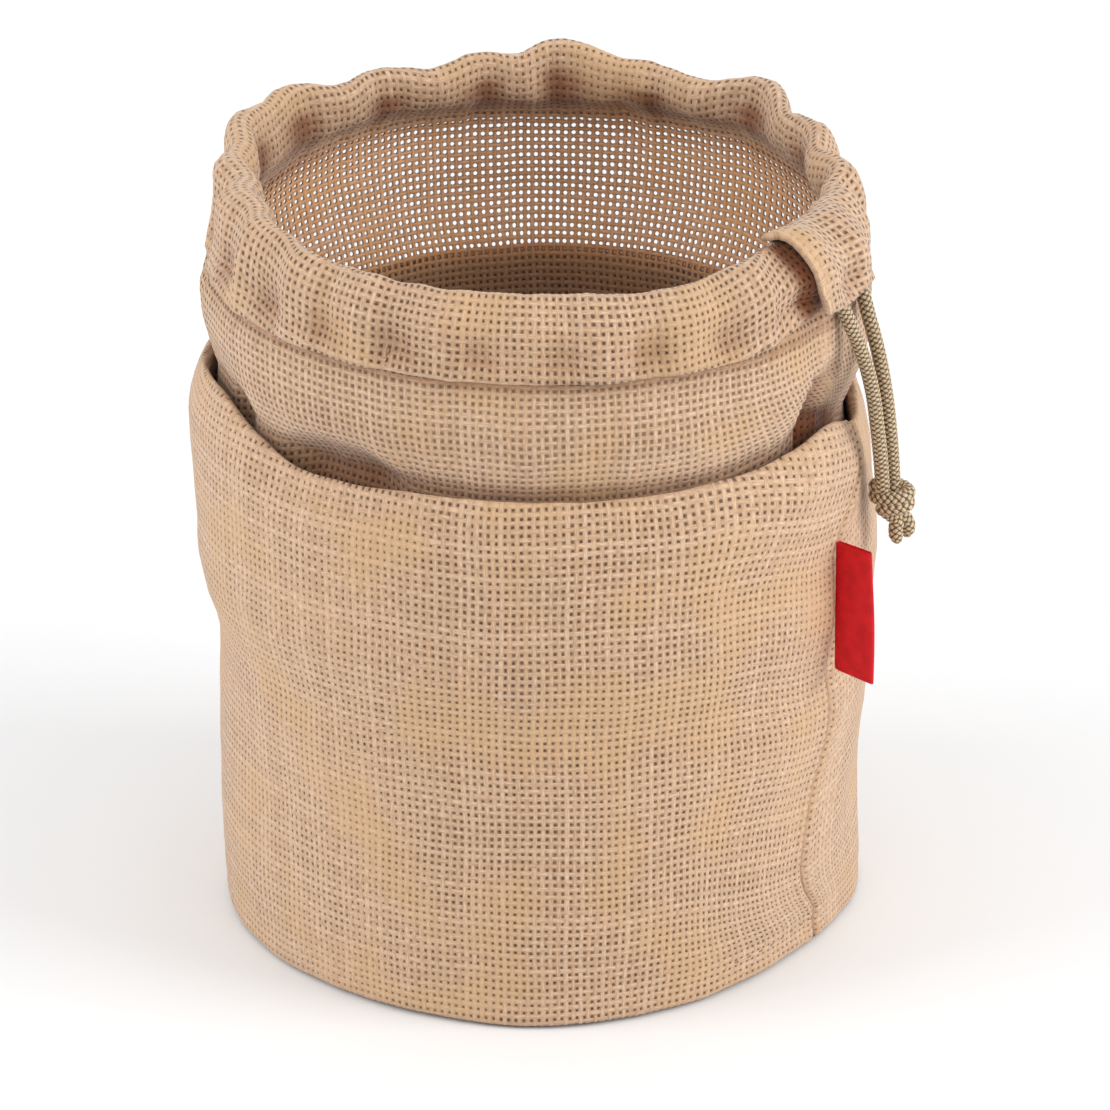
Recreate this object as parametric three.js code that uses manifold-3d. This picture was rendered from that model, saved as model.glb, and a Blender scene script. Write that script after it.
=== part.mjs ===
// A round jute storage bag with a drawstring casing, standing open.
//
// The wall is one tube of cloth. It rises from the base, folds back on itself near two thirds of the
// height, runs down inside as a hidden pleat, rises again as the inner sack, and is gathered at the top
// into a casing that is turned outwards over the drawstring.
//
// Lengths are millimetres. Heights are measured from the floor. An azimuth is in degrees, 0 at the
// front (-Y), and grows towards the right (+X).

import * as THREE from 'three';
import { mergeVertices } from 'three/addons/utils/BufferGeometryUtils.js';
import Module from 'manifold-3d';

const CLOTH = 1.5;            // thickness of the jute, yarn crowns included
const AIR = 0.3;              // gap between two pieces that touch
const LAYER_STEP = 3.0;       // from the middle of one hidden layer to the next

const CHEST_HEIGHT = 84;      // where the pleat inside starts to push the wall out
const BULGE_HEIGHT = 106;     // where the wall has reached its widest
const WAIST_HEIGHT = 34;
const HIGH_WALL = 129;        // a height between the bulge and the fold
const PLEAT_BOTTOM = 99.5;    // lowest point of the hidden pleat
const FOLD_BEND = 3.2;        // how far from its crest a fold's two sides begin
const FOLD_SHOULDER = 13;     // how far below its crest the fold starts to lean in
const FOLD_LEAN = 2.0;        // how far the fold leans in
const NECK_HEIGHT = 182;      // the sack just below the casing
const STITCH_HEIGHT = 190;    // stitch line of the casing
const CASING_EDGE = 189.4;    // lower edge of the casing's outer layer
const RIM_TURN = 2.4;         // how far below the rim's crest its roll turns down outside
const RIM_OUTSIDE = 0.8;      // and how far out, as a share of the roll's half width
const CHANNEL_DEPTH = 8.6;    // from the casing's inner layer to its outer layer
const CASING_STEP = 2.1;      // the same at the stitch line, where the two layers touch
const CORD_HEIGHT = 201;      // middle of the drawstring inside the casing

const BASE_THICK = 1.8;
const SEAM_ALLOWANCE = 10;    // turned in over the base disc

const CORD_DIAMETER = 4.0;
const CORD_SIDES = 8;

// The outer wall's outline, which is as uneven as soft cloth is: five radii from the floor up, and the
// height of the fold at the top of the wall.
const WALL_OUTLINE = [
  { azimuth: -180, foot: 86.0, waist: 87.6, chest: 88.4, bulge: 91.8, top: 92.2, fold: 155.0 },
  { azimuth: -150, foot: 86.0, waist: 87.6, chest: 88.4, bulge: 91.6, top: 92.4, fold: 154.0 },
  { azimuth: -120, foot: 86.5, waist: 87.9, chest: 88.3, bulge: 91.8, top: 93.6, fold: 154.5 },
  { azimuth: -90, foot: 86.8, waist: 88.1, chest: 88.1, bulge: 93.1, top: 95.3, fold: 159.0 },
  { azimuth: -72, foot: 86.0, waist: 87.9, chest: 88.4, bulge: 93.4, top: 95.0, fold: 162.0 },
  { azimuth: -58, foot: 85.2, waist: 87.3, chest: 88.5, bulge: 93.0, top: 93.8, fold: 156.5 },
  { azimuth: -45, foot: 84.6, waist: 86.9, chest: 88.6, bulge: 92.4, top: 92.6, fold: 152.5 },
  { azimuth: -24, foot: 85.2, waist: 87.2, chest: 88.5, bulge: 92.0, top: 92.0, fold: 154.0 },
  { azimuth: 0, foot: 86.2, waist: 87.6, chest: 88.4, bulge: 91.8, top: 91.8, fold: 154.0 },
  { azimuth: 26, foot: 82.6, waist: 86.4, chest: 88.2, bulge: 91.4, top: 91.4, fold: 154.0 },
  { azimuth: 48, foot: 79.8, waist: 85.0, chest: 87.8, bulge: 91.0, top: 90.8, fold: 155.5 },
  { azimuth: 61, foot: 79.8, waist: 84.6, chest: 87.6, bulge: 90.6, top: 90.2, fold: 157.0 },
  { azimuth: 76, foot: 82.4, waist: 84.8, chest: 87.8, bulge: 89.8, top: 88.8, fold: 149.0 },
  { azimuth: 92, foot: 86.2, waist: 85.8, chest: 88.0, bulge: 89.4, top: 87.4, fold: 147.0 },
  { azimuth: 120, foot: 86.6, waist: 87.2, chest: 88.4, bulge: 90.4, top: 89.8, fold: 151.0 },
  { azimuth: 150, foot: 86.2, waist: 87.6, chest: 88.4, bulge: 91.4, top: 91.4, fold: 154.5 },
];

// The sack above the fold: radii of its neck, its stitch line, the casing's outer layer and the rim's
// crest, half the width of the rim's roll, and the crest's height.
const TOP_OUTLINE = [
  { azimuth: -180, neck: 90.0, stitch: 88.5, casing: 90.5, rim: 86.5, roll: 3.8, lip: 213.5 },
  { azimuth: -150, neck: 90.3, stitch: 88.5, casing: 90.5, rim: 85.5, roll: 3.8, lip: 212.5 },
  { azimuth: -120, neck: 91.4, stitch: 89.0, casing: 91.4, rim: 87.0, roll: 3.8, lip: 214.5 },
  { azimuth: -104, neck: 91.6, stitch: 88.6, casing: 89.0, rim: 84.0, roll: 4.4, lip: 213.5 },
  { azimuth: -88, neck: 91.8, stitch: 88.3, casing: 87.4, rim: 81.6, roll: 5.4, lip: 213.0 },
  { azimuth: -72, neck: 92.0, stitch: 89.0, casing: 88.8, rim: 81.8, roll: 5.2, lip: 213.5 },
  { azimuth: -58, neck: 91.6, stitch: 89.4, casing: 90.0, rim: 83.6, roll: 4.4, lip: 213.5 },
  { azimuth: -45, neck: 90.8, stitch: 89.4, casing: 91.0, rim: 84.8, roll: 3.8, lip: 212.5 },
  { azimuth: -24, neck: 90.2, stitch: 89.4, casing: 91.2, rim: 84.5, roll: 3.6, lip: 211.5 },
  { azimuth: 0, neck: 90.0, stitch: 89.2, casing: 91.2, rim: 84.0, roll: 3.6, lip: 211.0 },
  { azimuth: 26, neck: 90.0, stitch: 89.2, casing: 91.2, rim: 84.0, roll: 3.6, lip: 210.5 },
  { azimuth: 48, neck: 89.4, stitch: 88.6, casing: 90.8, rim: 81.8, roll: 4.0, lip: 213.0 },
  { azimuth: 61, neck: 88.4, stitch: 87.6, casing: 89.6, rim: 79.0, roll: 4.4, lip: 213.0 },
  { azimuth: 76, neck: 87.2, stitch: 85.8, casing: 86.8, rim: 78.6, roll: 4.2, lip: 212.0 },
  { azimuth: 92, neck: 86.8, stitch: 84.3, casing: 84.8, rim: 78.6, roll: 3.6, lip: 211.8 },
  { azimuth: 108, neck: 87.6, stitch: 85.2, casing: 85.2, rim: 79.2, roll: 3.4, lip: 212.4 },
  { azimuth: 120, neck: 88.6, stitch: 86.2, casing: 87.0, rim: 80.6, roll: 3.4, lip: 212.5 },
  { azimuth: 135, neck: 89.5, stitch: 87.4, casing: 89.4, rim: 84.6, roll: 3.6, lip: 212.3 },
  { azimuth: 150, neck: 90.0, stitch: 88.2, casing: 90.2, rim: 85.4, roll: 3.8, lip: 212.0 },
];

// Gathers round the rim: how far each crest stands out and up, and how deep the dip after it is.
const GATHERS = [
  { azimuth: -169, out: 0.5, up: 0.5, dip: 3.2 },
  { azimuth: -148, out: 1.2, up: 0.5, dip: 3.6 },
  { azimuth: -128, out: 2.6, up: 1.0, dip: 1.6 },
  { azimuth: -112, out: 3.0, up: 1.0, dip: 2.2 },
  { azimuth: -96, out: 2.0, up: 0.6, dip: 2.4 },
  { azimuth: -80, out: 1.4, up: 0.2, dip: 2.0 },
  { azimuth: -63, out: 1.2, up: 0.4, dip: 2.0 },
  { azimuth: -47, out: 0.6, up: 0.0, dip: 1.6 },
  { azimuth: -32, out: 0.8, up: 0.4, dip: 1.8 },
  { azimuth: -18, out: 0.4, up: 0.0, dip: 1.6 },
  { azimuth: -4, out: 0.6, up: 0.2, dip: 1.4 },
  { azimuth: 10, out: 0.8, up: 0.4, dip: 1.8 },
  { azimuth: 25, out: 0.6, up: 0.0, dip: 1.6 },
  { azimuth: 39, out: 0.8, up: 0.2, dip: 1.8 },
  { azimuth: 54, out: 0.8, up: 0.6, dip: 1.6 },
  { azimuth: 68, out: 0.8, up: 0.2, dip: 2.0 },
  { azimuth: 81, out: 1.2, up: 0.2, dip: 2.2 },
  { azimuth: 95, out: 1.4, up: 0.2, dip: 3.2 },
  { azimuth: 114, out: 1.0, up: 0.6, dip: 3.6 },
  { azimuth: 137, out: 3.4, up: 1.4, dip: 3.6 },
  { azimuth: 159, out: -0.8, up: -0.2, dip: 1.4 },
  { azimuth: 178, out: 2.6, up: 2.6, dip: 3.2 },
];

// Dents pressed into the sack above the fold: middle, half spread round and up, and depth.
const SACK_DENTS = [
  { azimuth: -35, height: 156, spread: 14, tall: 13, depth: 6.0 },
  { azimuth: -64, height: 160, spread: 12, tall: 9, depth: 2.4 },
  { azimuth: 57, height: 165, spread: 8, tall: 20, depth: 6.5 },
  { azimuth: 72, height: 158, spread: 9, tall: 16, depth: 3.0 },
  { azimuth: 150, height: 163, spread: 16, tall: 12, depth: 3.0 },
  { azimuth: -140, height: 165, spread: 13, tall: 14, depth: 3.4 },
];

// Soft troughs in the outer wall.
const WALL_DENTS = [
  { azimuth: -66, height: 66, spread: 12, tall: 16, depth: 1.0 },
  { azimuth: -52, height: 46, spread: 12, tall: 14, depth: 0.8 },
  { azimuth: 84, height: 34, spread: 12, tall: 12, depth: 1.2 },
  { azimuth: 128, height: 96, spread: 16, tall: 20, depth: 1.4 },
  { azimuth: -150, height: 62, spread: 18, tall: 22, depth: 1.2 },
];

// The slit where both ends of the drawstring come out: the casing's lower edge is drawn up to this height.
const SLIT = { azimuth: 63.3, half: 10.2, soft: 3.0, edge: 204.5 };

const LABEL = {
  azimuth: 58.5, top: 126, bottom: 88.5, wide: 12, thick: 1.2, turn: -9, corner: 1.6,
};

// Small numbers

const rad = (degrees) => (degrees * Math.PI) / 180;
const mix = (a, b, t) => a + (b - a) * t;
const ease = (t) => {
  const c = Math.min(1, Math.max(0, t));
  return c * c * (3 - 2 * c);
};
const turnTo = (a, b) => ((a - b + 540) % 360) - 180;
const bump = (t) => (Math.abs(t) < 1 ? Math.cos((t * Math.PI) / 2) ** 2 : 0);

function polar(azimuth, radius, height) {
  const a = rad(azimuth);
  return new THREE.Vector3(radius * Math.sin(a), -radius * Math.cos(a), height);
}

// A column of the two outline tables at any azimuth, on a smooth closed curve through the rows.
function outline(column, azimuth) {
  const table = column in WALL_OUTLINE[0] ? WALL_OUTLINE : TOP_OUTLINE;
  const count = table.length;
  const place = (i) => table[((i % count) + count) % count].azimuth + 360 * Math.floor(i / count);
  const value = (i) => table[((i % count) + count) % count][column];
  let a = azimuth;
  while (a < -180) a += 360;
  while (a >= 180) a -= 360;
  let i = 0;
  while (i < count - 1 && place(i + 1) <= a) i += 1;
  const slope = (k) => (value(k + 1) - value(k - 1)) / (place(k + 1) - place(k - 1));
  const span = place(i + 1) - place(i);
  const t = (a - place(i)) / span;
  const t2 = t * t;
  const t3 = t2 * t;
  return (2 * t3 - 3 * t2 + 1) * value(i) + (t3 - 2 * t2 + t) * span * slope(i)
    + (3 * t2 - 2 * t3) * value(i + 1) + (t3 - t2) * span * slope(i + 1);
}

// How far the gathers push the rim out and up at an azimuth.
function gather(azimuth) {
  const count = GATHERS.length;
  for (let i = 0; i < count; i += 1) {
    const from = GATHERS[i];
    const to = GATHERS[(i + 1) % count];
    const span = ((to.azimuth - from.azimuth + 360) % 360);
    const along = ((azimuth - from.azimuth + 720) % 360);
    if (along <= span) {
      const t = along / span;
      const dip = from.dip * Math.sin(Math.PI * t) ** 2;
      return { out: mix(from.out, to.out, ease(t)) - dip, up: mix(from.up, to.up, ease(t)) - 0.45 * dip };
    }
  }
  return { out: 0, up: 0 };
}

function dents(table, azimuth, height) {
  const round = (d) => bump(turnTo(azimuth, d.azimuth) / (2 * d.spread));
  const tall = (d) => bump((height - d.height) / (2 * d.tall));
  return table.reduce((sum, d) => sum + d.depth * round(d) * tall(d), 0);
}

// The wall

function wallRadius(azimuth, height) {
  const foot = outline('foot', azimuth);
  const waist = outline('waist', azimuth);
  const chest = outline('chest', azimuth);
  const bulge = outline('bulge', azimuth);
  let radius = mix(foot, waist, ease(height / WAIST_HEIGHT));
  radius = mix(radius, chest, ease((height - WAIST_HEIGHT) / (CHEST_HEIGHT - WAIST_HEIGHT)));
  radius = mix(radius, bulge, ease((height - CHEST_HEIGHT) / (BULGE_HEIGHT - CHEST_HEIGHT)));
  const shoulder = outline('fold', azimuth) - FOLD_SHOULDER;
  radius = mix(radius, outline('top', azimuth), ease((height - BULGE_HEIGHT) / (shoulder - BULGE_HEIGHT)));
  return radius - dents(WALL_DENTS, azimuth, height);
}

// 1 inside the slit and 0 away from it.
function slitLift(azimuth) {
  return 1 - ease((Math.abs(turnTo(azimuth, SLIT.azimuth)) - SLIT.half) / SLIT.soft);
}

// The middle of the cloth, row by row from the seam allowance on the base to the casing's lower edge.
// Each row gives its number of columns and its radius and height at an azimuth.
const UNDER_WALL = BASE_THICK + AIR + CLOTH / 2;

const WALL_ROWS = [
  { name: 'allowance edge', columns: 48, at: (a) => footRow(a, SEAM_ALLOWANCE + 3, 0.1) },
  { name: 'allowance', columns: 48, at: (a) => footRow(a, 4.4, 0.1) },
  { name: 'corner', columns: 48, at: (a) => footRow(a, 1.5, 1.0) },
  { name: 'foot', columns: 48, at: (a) => wallRow(a, 6) },
  { name: 'low wall', columns: 48, at: (a) => wallRow(a, 30) },
  { name: 'middle wall', columns: 48, at: (a) => wallRow(a, 60) },
  { name: 'chest', columns: 48, at: (a) => wallRow(a, CHEST_HEIGHT) },
  { name: 'bulge', columns: 72, at: (a) => wallRow(a, BULGE_HEIGHT) },
  { name: 'high wall', columns: 72, at: (a) => wallRow(a, HIGH_WALL) },
  { name: 'shoulder', columns: 72, at: (a) => [outline('top', a), outline('fold', a) - FOLD_SHOULDER] },
  { name: 'fold outside', columns: 72, at: (a) => foldRow(a, 0, -FOLD_BEND) },
  { name: 'fold crest', columns: 72, at: (a) => foldRow(a, 0.5, 0) },
  { name: 'fold inside', columns: 72, at: (a) => foldRow(a, 1, -FOLD_BEND) },
  { name: 'pleat down', columns: 48, at: (a) => [wallRadius(a, HIGH_WALL) - LAYER_STEP, HIGH_WALL] },
  { name: 'pleat outside', columns: 48, at: (a) => pleatRow(a, 1, FOLD_BEND) },
  { name: 'pleat bottom', columns: 48, at: (a) => pleatRow(a, 1.5, 0) },
  { name: 'pleat inside', columns: 48, at: (a) => pleatRow(a, 2, FOLD_BEND) },
  { name: 'sack hidden', columns: 48, at: (a) => [wallRadius(a, HIGH_WALL) - 2 * LAYER_STEP, HIGH_WALL] },
  { name: 'sack at fold', columns: 72, at: (a) => sackRow(a, 1.5, 0.0) },
  { name: 'sack above fold', columns: 72, at: (a) => sackRow(a, 9, 0.62) },
  { name: 'sack', columns: 72, at: (a) => sackRow(a, 18, 1.0) },
  { name: 'sack neck', columns: 72, at: (a) => [outline('stitch', a), STITCH_HEIGHT + 0.5] },
  { name: 'throat', columns: 108, at: (a) => casingInside(a, CORD_HEIGHT - 1) },
  { name: 'collar', columns: 108, at: (a) => rimRow(a, -1, -5.0, 0.8) },
  { name: 'rim inside', columns: 108, at: (a) => rimRow(a, -0.75, -1.3, 0.95) },
  { name: 'rim crest', columns: 108, at: (a) => rimRow(a, 0, 0, 1) },
  { name: 'rim outside', columns: 108, at: (a) => rimRow(a, RIM_OUTSIDE, -RIM_TURN, 1) },
  { name: 'casing', columns: 108, at: (a) => casingOutside(a, CORD_HEIGHT + 1, 0.5) },
  { name: 'casing low', columns: 108, at: (a) => casingOutside(a, STITCH_HEIGHT + 5, 0.15) },
  { name: 'casing edge', columns: 108, at: (a) => casingOutside(a, CASING_EDGE, 0) },
];

function footRow(a, inset, up) {
  return [outline('foot', a) - inset, UNDER_WALL + up];
}

function wallRow(a, height) {
  return [wallRadius(a, height), height];
}

// One of the layers that hang side by side from the fold, counted inwards from the outer wall.
function foldRow(a, layer, up) {
  return [outline('top', a) - FOLD_LEAN - layer * LAYER_STEP, outline('fold', a) + up];
}

function pleatRow(a, layer, up) {
  return [wallRadius(a, PLEAT_BOTTOM + FOLD_BEND) - layer * LAYER_STEP, PLEAT_BOTTOM + up];
}

function sackRow(a, above, share) {
  const height = Math.min(outline('fold', a) + above, NECK_HEIGHT + 1);
  const [tucked] = foldRow(a, 1.87, 0);
  return [mix(tucked, outline('neck', a), share) - dents(SACK_DENTS, a, height), height];
}

function casingInside(a, height) {
  return [outline('casing', a) - CHANNEL_DEPTH + 0.45 * gather(a).out, height];
}

// A line along the rim's roll, placed by a share of the roll's half width.
function rimRow(a, across, up, share) {
  const { out, up: raise } = gather(a);
  const radius = outline('rim', a) + across * outline('roll', a) + share * out;
  return [radius, outline('lip', a) + up + share * raise];
}

// The casing's outer layer. In the slit its rows are drawn up towards the rim.
function casingOutside(a, height, share) {
  const [rimRadius] = rimRow(a, RIM_OUTSIDE, 0, 1);
  const top = outline('lip', a) - RIM_TURN;
  const upTheLayer = (height - CASING_EDGE) / (top - CASING_EDGE);
  const raised = mix(height, mix(SLIT.edge, top - 1, upTheLayer), slitLift(a));
  const low = mix(outline('stitch', a) + CASING_STEP, outline('casing', a),
    ease((raised - STITCH_HEIGHT) / (CORD_HEIGHT - STITCH_HEIGHT)));
  const intoRim = ease((raised - CORD_HEIGHT - 1) / (top - CORD_HEIGHT - 1));
  return [mix(low + share * gather(a).out, rimRadius, intoRim), raised];
}

function wallPoint(row, azimuth) {
  const [radius, height] = WALL_ROWS[row].at(azimuth);
  return polar(azimuth, radius, height);
}

// The direction square to the cloth at a row and azimuth.
function wallNormal(row, azimuth) {
  const next = wallPoint(Math.min(row + 1, WALL_ROWS.length - 1), azimuth);
  const last = wallPoint(Math.max(row - 1, 0), azimuth);
  const here = wallPoint(row, azimuth);
  const ahead = next.clone().sub(here);
  const behind = here.clone().sub(last);
  const along = new THREE.Vector3();
  if (ahead.length() > 0) along.add(ahead.normalize());
  if (behind.length() > 0) along.add(behind.normalize());
  const round = wallPoint(row, azimuth + 1).sub(wallPoint(row, azimuth - 1));
  return round.cross(along).normalize();
}

function wallRing(row, side) {
  const ring = [];
  const { columns } = WALL_ROWS[row];
  for (let i = 0; i < columns; i += 1) {
    const azimuth = (360 * i) / columns - 180;
    ring.push(wallPoint(row, azimuth).addScaledVector(wallNormal(row, azimuth), (side * CLOTH) / 2));
  }
  return ring;
}

// Rings of points joined into one closed skin

// Two rings may have different numbers of points: the triangles zip up the step between them.
function joinRings(faces, a, b) {
  let i = 0;
  let j = 0;
  while (i < a.length || j < b.length) {
    if (j >= b.length || (i < a.length && (i + 1) * b.length <= (j + 1) * a.length)) {
      faces.push([a[i], a[(i + 1) % a.length], b[j % b.length]]);
      i += 1;
    } else {
      faces.push([a[i % a.length], b[(j + 1) % b.length], b[j]]);
      j += 1;
    }
  }
}

function facesToGeometry(faces) {
  const volume = faces.reduce((sum, [a, b, c]) => sum + a.dot(new THREE.Vector3().crossVectors(b, c)), 0);
  const points = [];
  faces.forEach(([a, b, c]) => {
    const order = volume > 0 ? [a, b, c] : [a, c, b];
    order.forEach((p) => points.push(p.x, p.y, p.z));
  });
  const geometry = new THREE.BufferGeometry();
  geometry.setAttribute('position', new THREE.Float32BufferAttribute(points, 3));
  return mergeVertices(geometry, 1e-4);
}

function wallGeometry() {
  const rows = WALL_ROWS.map((row, i) => i);
  const rings = [
    ...rows.map((row) => wallRing(row, 1)),
    ...rows.reverse().map((row) => wallRing(row, -1)),
  ];
  const faces = [];
  rings.forEach((ring, i) => joinRings(faces, ring, rings[(i + 1) % rings.length]));
  return facesToGeometry(faces);
}

// The base disc, flat under the whole bag, with its rim just inside the wall's corner
function baseGeometry() {
  const columns = 48;
  const ring = (inset, height) => Array.from({ length: columns }, (unused, i) => {
    const azimuth = (360 * i) / columns - 180;
    return polar(azimuth, outline('foot', azimuth) - inset, height);
  });
  const rings = [ring(3.0, 0), ring(2.2, 0.6), ring(2.2, BASE_THICK - 0.5), ring(2.8, BASE_THICK)];
  const faces = [];
  rings.slice(1).forEach((r, i) => joinRings(faces, rings[i], r));
  const below = new THREE.Vector3(0, 0, 0);
  const above = new THREE.Vector3(0, 0, BASE_THICK);
  rings[0].forEach((p, i) => faces.push([below, rings[0][(i + 1) % columns], p]));
  rings[3].forEach((p, i) => faces.push([above, p, rings[3][(i + 1) % columns]]));
  return facesToGeometry(faces);
}

// The drawstring

function roundSection(radius, sides) {
  const shape = new THREE.Shape();
  for (let i = 0; i < sides; i += 1) {
    const a = (2 * Math.PI * (i + 0.5)) / sides;
    if (i === 0) shape.moveTo(radius * Math.cos(a), radius * Math.sin(a));
    else shape.lineTo(radius * Math.cos(a), radius * Math.sin(a));
  }
  shape.closePath();
  return shape;
}

function tube(points, diameter, steps) {
  const path = new THREE.CatmullRomCurve3(points, false, 'centripetal');
  const geometry = new THREE.ExtrudeGeometry(roundSection(diameter / 2, CORD_SIDES),
    { steps, extrudePath: path, bevelEnabled: false });
  geometry.deleteAttribute('normal');
  geometry.deleteAttribute('uv');
  return mergeVertices(geometry, 1e-4);
}

// The middle of the channel between the casing's two layers.
function channelPoint(azimuth) {
  const inner = casingInside(azimuth, CORD_HEIGHT)[0];
  const outer = casingOutside(azimuth, CORD_HEIGHT, 0.5)[0];
  return polar(azimuth, (inner + outer) / 2, CORD_HEIGHT);
}

// Azimuth, radius and height of the two ends: along the channel, out of the slit, and down to the knot.
const FRONT_END = [
  [49.0, 86.6, 201.0], [52.0, 85.6, 200.4], [55.0, 86.3, 199.7], [57.4, 88.1, 197.9], [59.2, 89.7, 194.6],
  [60.3, 91.0, 190.6], [61.2, 92.1, 186.4], [62.5, 93.0, 181.8], [64.5, 94.2, 173.6], [66.5, 95.0, 163.8],
  [68.1, 95.4, 152.9], [69.8, 95.5, 142.5], [70.8, 95.6, 133.5],
];
const BACK_END = [
  [79.0, 82.0, 201.0], [76.4, 82.2, 200.7], [74.0, 82.9, 200.0], [72.0, 84.5, 198.5], [70.7, 86.9, 196.0],
  [69.9, 88.8, 192.8], [69.4, 90.4, 189.2], [69.2, 91.8, 184.6], [69.4, 93.2, 179.4], [69.9, 94.8, 171.7],
  [70.8, 96.2, 161.0], [71.8, 97.0, 149.5], [72.8, 97.3, 140.0], [73.4, 97.3, 134.25],
];

const routePoints = (route) => route.map(([azimuth, radius, height]) => polar(azimuth, radius, height));

// The stretch inside the casing, from the back end round the back, left and front to the front end. Its
// two end faces meet those of the ends squarely.
function runPoints() {
  const beyond = (route, length) => {
    const [first, second] = routePoints(route);
    return first.clone().addScaledVector(first.clone().sub(second).normalize(), length);
  };
  const leadAngle = 6;
  const count = 53;
  const from = BACK_END[0][0] + leadAngle;
  const to = 360 + FRONT_END[0][0] - leadAngle;
  const middle = Array.from({ length: count }, (unused, i) => channelPoint(mix(from, to, i / (count - 1))));
  return [
    beyond(BACK_END, AIR), beyond(BACK_END, CORD_DIAMETER),
    ...middle,
    beyond(FRONT_END, CORD_DIAMETER), beyond(FRONT_END, AIR),
  ];
}

// The knot: an overhand knot pulled tight, with two short tails below it.
const KNOT_AZIMUTH = 72.3;
const KNOT_CENTRE = polar(KNOT_AZIMUTH, 97.5, 128.2);
const KNOT_LOBES = [
  { across: -2.8, side: 0.2, up: 0.4, size: [3.2, 3.4, 4.4] },
  { across: 3.0, side: -0.2, up: -0.4, size: [3.6, 3.5, 4.7] },
  { across: 0.0, side: 0.2, up: 3.0, size: [4.4, 5.2, 2.4] },
  { across: 0.2, side: 0.2, up: -1.6, size: [4.4, 4.0, 3.0] },
];
const KNOT_TAILS = [
  { across: 1.6, side: -1.6, top: -1.5, bottom: -11.4, lean: 1.6 },
  { across: 2.2, side: 2.3, top: -1.5, bottom: -10.4, lean: 1.8 },
];

async function knotGeometry() {
  const wasm = await Module();
  wasm.setup();
  const solid = (source) => {
    source.deleteAttribute('normal');
    source.deleteAttribute('uv');
    const merged = mergeVertices(source, 1e-4);
    return new wasm.Manifold(new wasm.Mesh({
      numProp: 3,
      vertProperties: Float32Array.from(merged.attributes.position.array),
      triVerts: Uint32Array.from(merged.index.array),
    }));
  };
  const azimuth = rad(KNOT_AZIMUTH);
  const away = new THREE.Vector3(Math.sin(azimuth), -Math.cos(azimuth), 0);
  const round = new THREE.Vector3(Math.cos(azimuth), Math.sin(azimuth), 0);
  const place = (across, side, up) => KNOT_CENTRE.clone().addScaledVector(away, across)
    .addScaledVector(round, side).add(new THREE.Vector3(0, 0, up));
  const lobes = KNOT_LOBES.map((lobe) => {
    const ball = new THREE.SphereGeometry(1, 12, 8);
    ball.scale(...lobe.size);
    const at = place(lobe.across, lobe.side, lobe.up);
    ball.translate(at.x, at.y, at.z);
    return solid(ball);
  });
  const tails = KNOT_TAILS.map((tail) => {
    const from = place(tail.across, tail.side, tail.top);
    const to = place(tail.across + tail.lean, tail.side, tail.bottom);
    return solid(tube([from, from.clone().lerp(to, 0.5), to], CORD_DIAMETER, 4));
  });
  const joined = [...lobes, ...tails].reduce((all, one) => all.add(one));
  const mesh = joined.getMesh();
  const geometry = new THREE.BufferGeometry();
  geometry.setAttribute('position', new THREE.BufferAttribute(Float32Array.from(mesh.vertProperties), 3));
  geometry.setIndex(new THREE.BufferAttribute(Uint32Array.from(mesh.triVerts), 1));
  return geometry;
}

// The label: a folded ribbon sewn into the side seam, standing out from the wall
function labelGeometry() {
  const tall = LABEL.top - LABEL.bottom;
  const shape = new THREE.Shape();
  shape.moveTo(0, 0);
  shape.lineTo(LABEL.wide - LABEL.corner, -0.6);
  shape.quadraticCurveTo(LABEL.wide + 0.6, -0.8, LABEL.wide + 0.6, LABEL.corner);
  shape.lineTo(LABEL.wide, tall - LABEL.corner);
  shape.quadraticCurveTo(LABEL.wide, tall, LABEL.wide - LABEL.corner, tall);
  shape.lineTo(0, tall);
  shape.closePath();
  const geometry = new THREE.ExtrudeGeometry(shape,
    { depth: LABEL.thick, bevelEnabled: false, curveSegments: 4 });
  geometry.translate(0, 0, -LABEL.thick / 2);
  geometry.deleteAttribute('normal');
  geometry.deleteAttribute('uv');
  return mergeVertices(geometry, 1e-4);
}

function labelMesh() {
  const widest = Math.max(...[0, 0.25, 0.5, 0.75, 1].map((t) => wallRadius(LABEL.azimuth,
    mix(LABEL.bottom, LABEL.top, t))));
  const mesh = new THREE.Mesh(labelGeometry(), LABEL_RED);
  const root = polar(LABEL.azimuth, widest + CLOTH / 2 + AIR + 0.15, LABEL.bottom);
  const outward = rad(LABEL.azimuth - 90 + LABEL.turn);
  const across = new THREE.Vector3(Math.cos(outward), Math.sin(outward), 0);
  const basis = new THREE.Matrix4().makeBasis(across, new THREE.Vector3(0, 0, 1),
    new THREE.Vector3().crossVectors(across, new THREE.Vector3(0, 0, 1)));
  mesh.quaternion.setFromRotationMatrix(basis);
  mesh.position.copy(root);
  return mesh;
}

// Finishes

const JUTE = new THREE.MeshStandardMaterial({ color: 0xc9a67a, roughness: 0.95, metalness: 0 });
const JUTE_BASE = new THREE.MeshStandardMaterial({ color: 0xbf9b6e, roughness: 0.95, metalness: 0 });
const CORD_KHAKI = new THREE.MeshStandardMaterial({ color: 0x9c8a68, roughness: 0.85, metalness: 0 });
const LABEL_RED = new THREE.MeshStandardMaterial({ color: 0xc8141c, roughness: 0.6, metalness: 0 });

const bag = new THREE.Group();

function add(name, geometry, material) {
  const mesh = new THREE.Mesh(geometry, material);
  mesh.name = name;
  bag.add(mesh);
}

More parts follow.
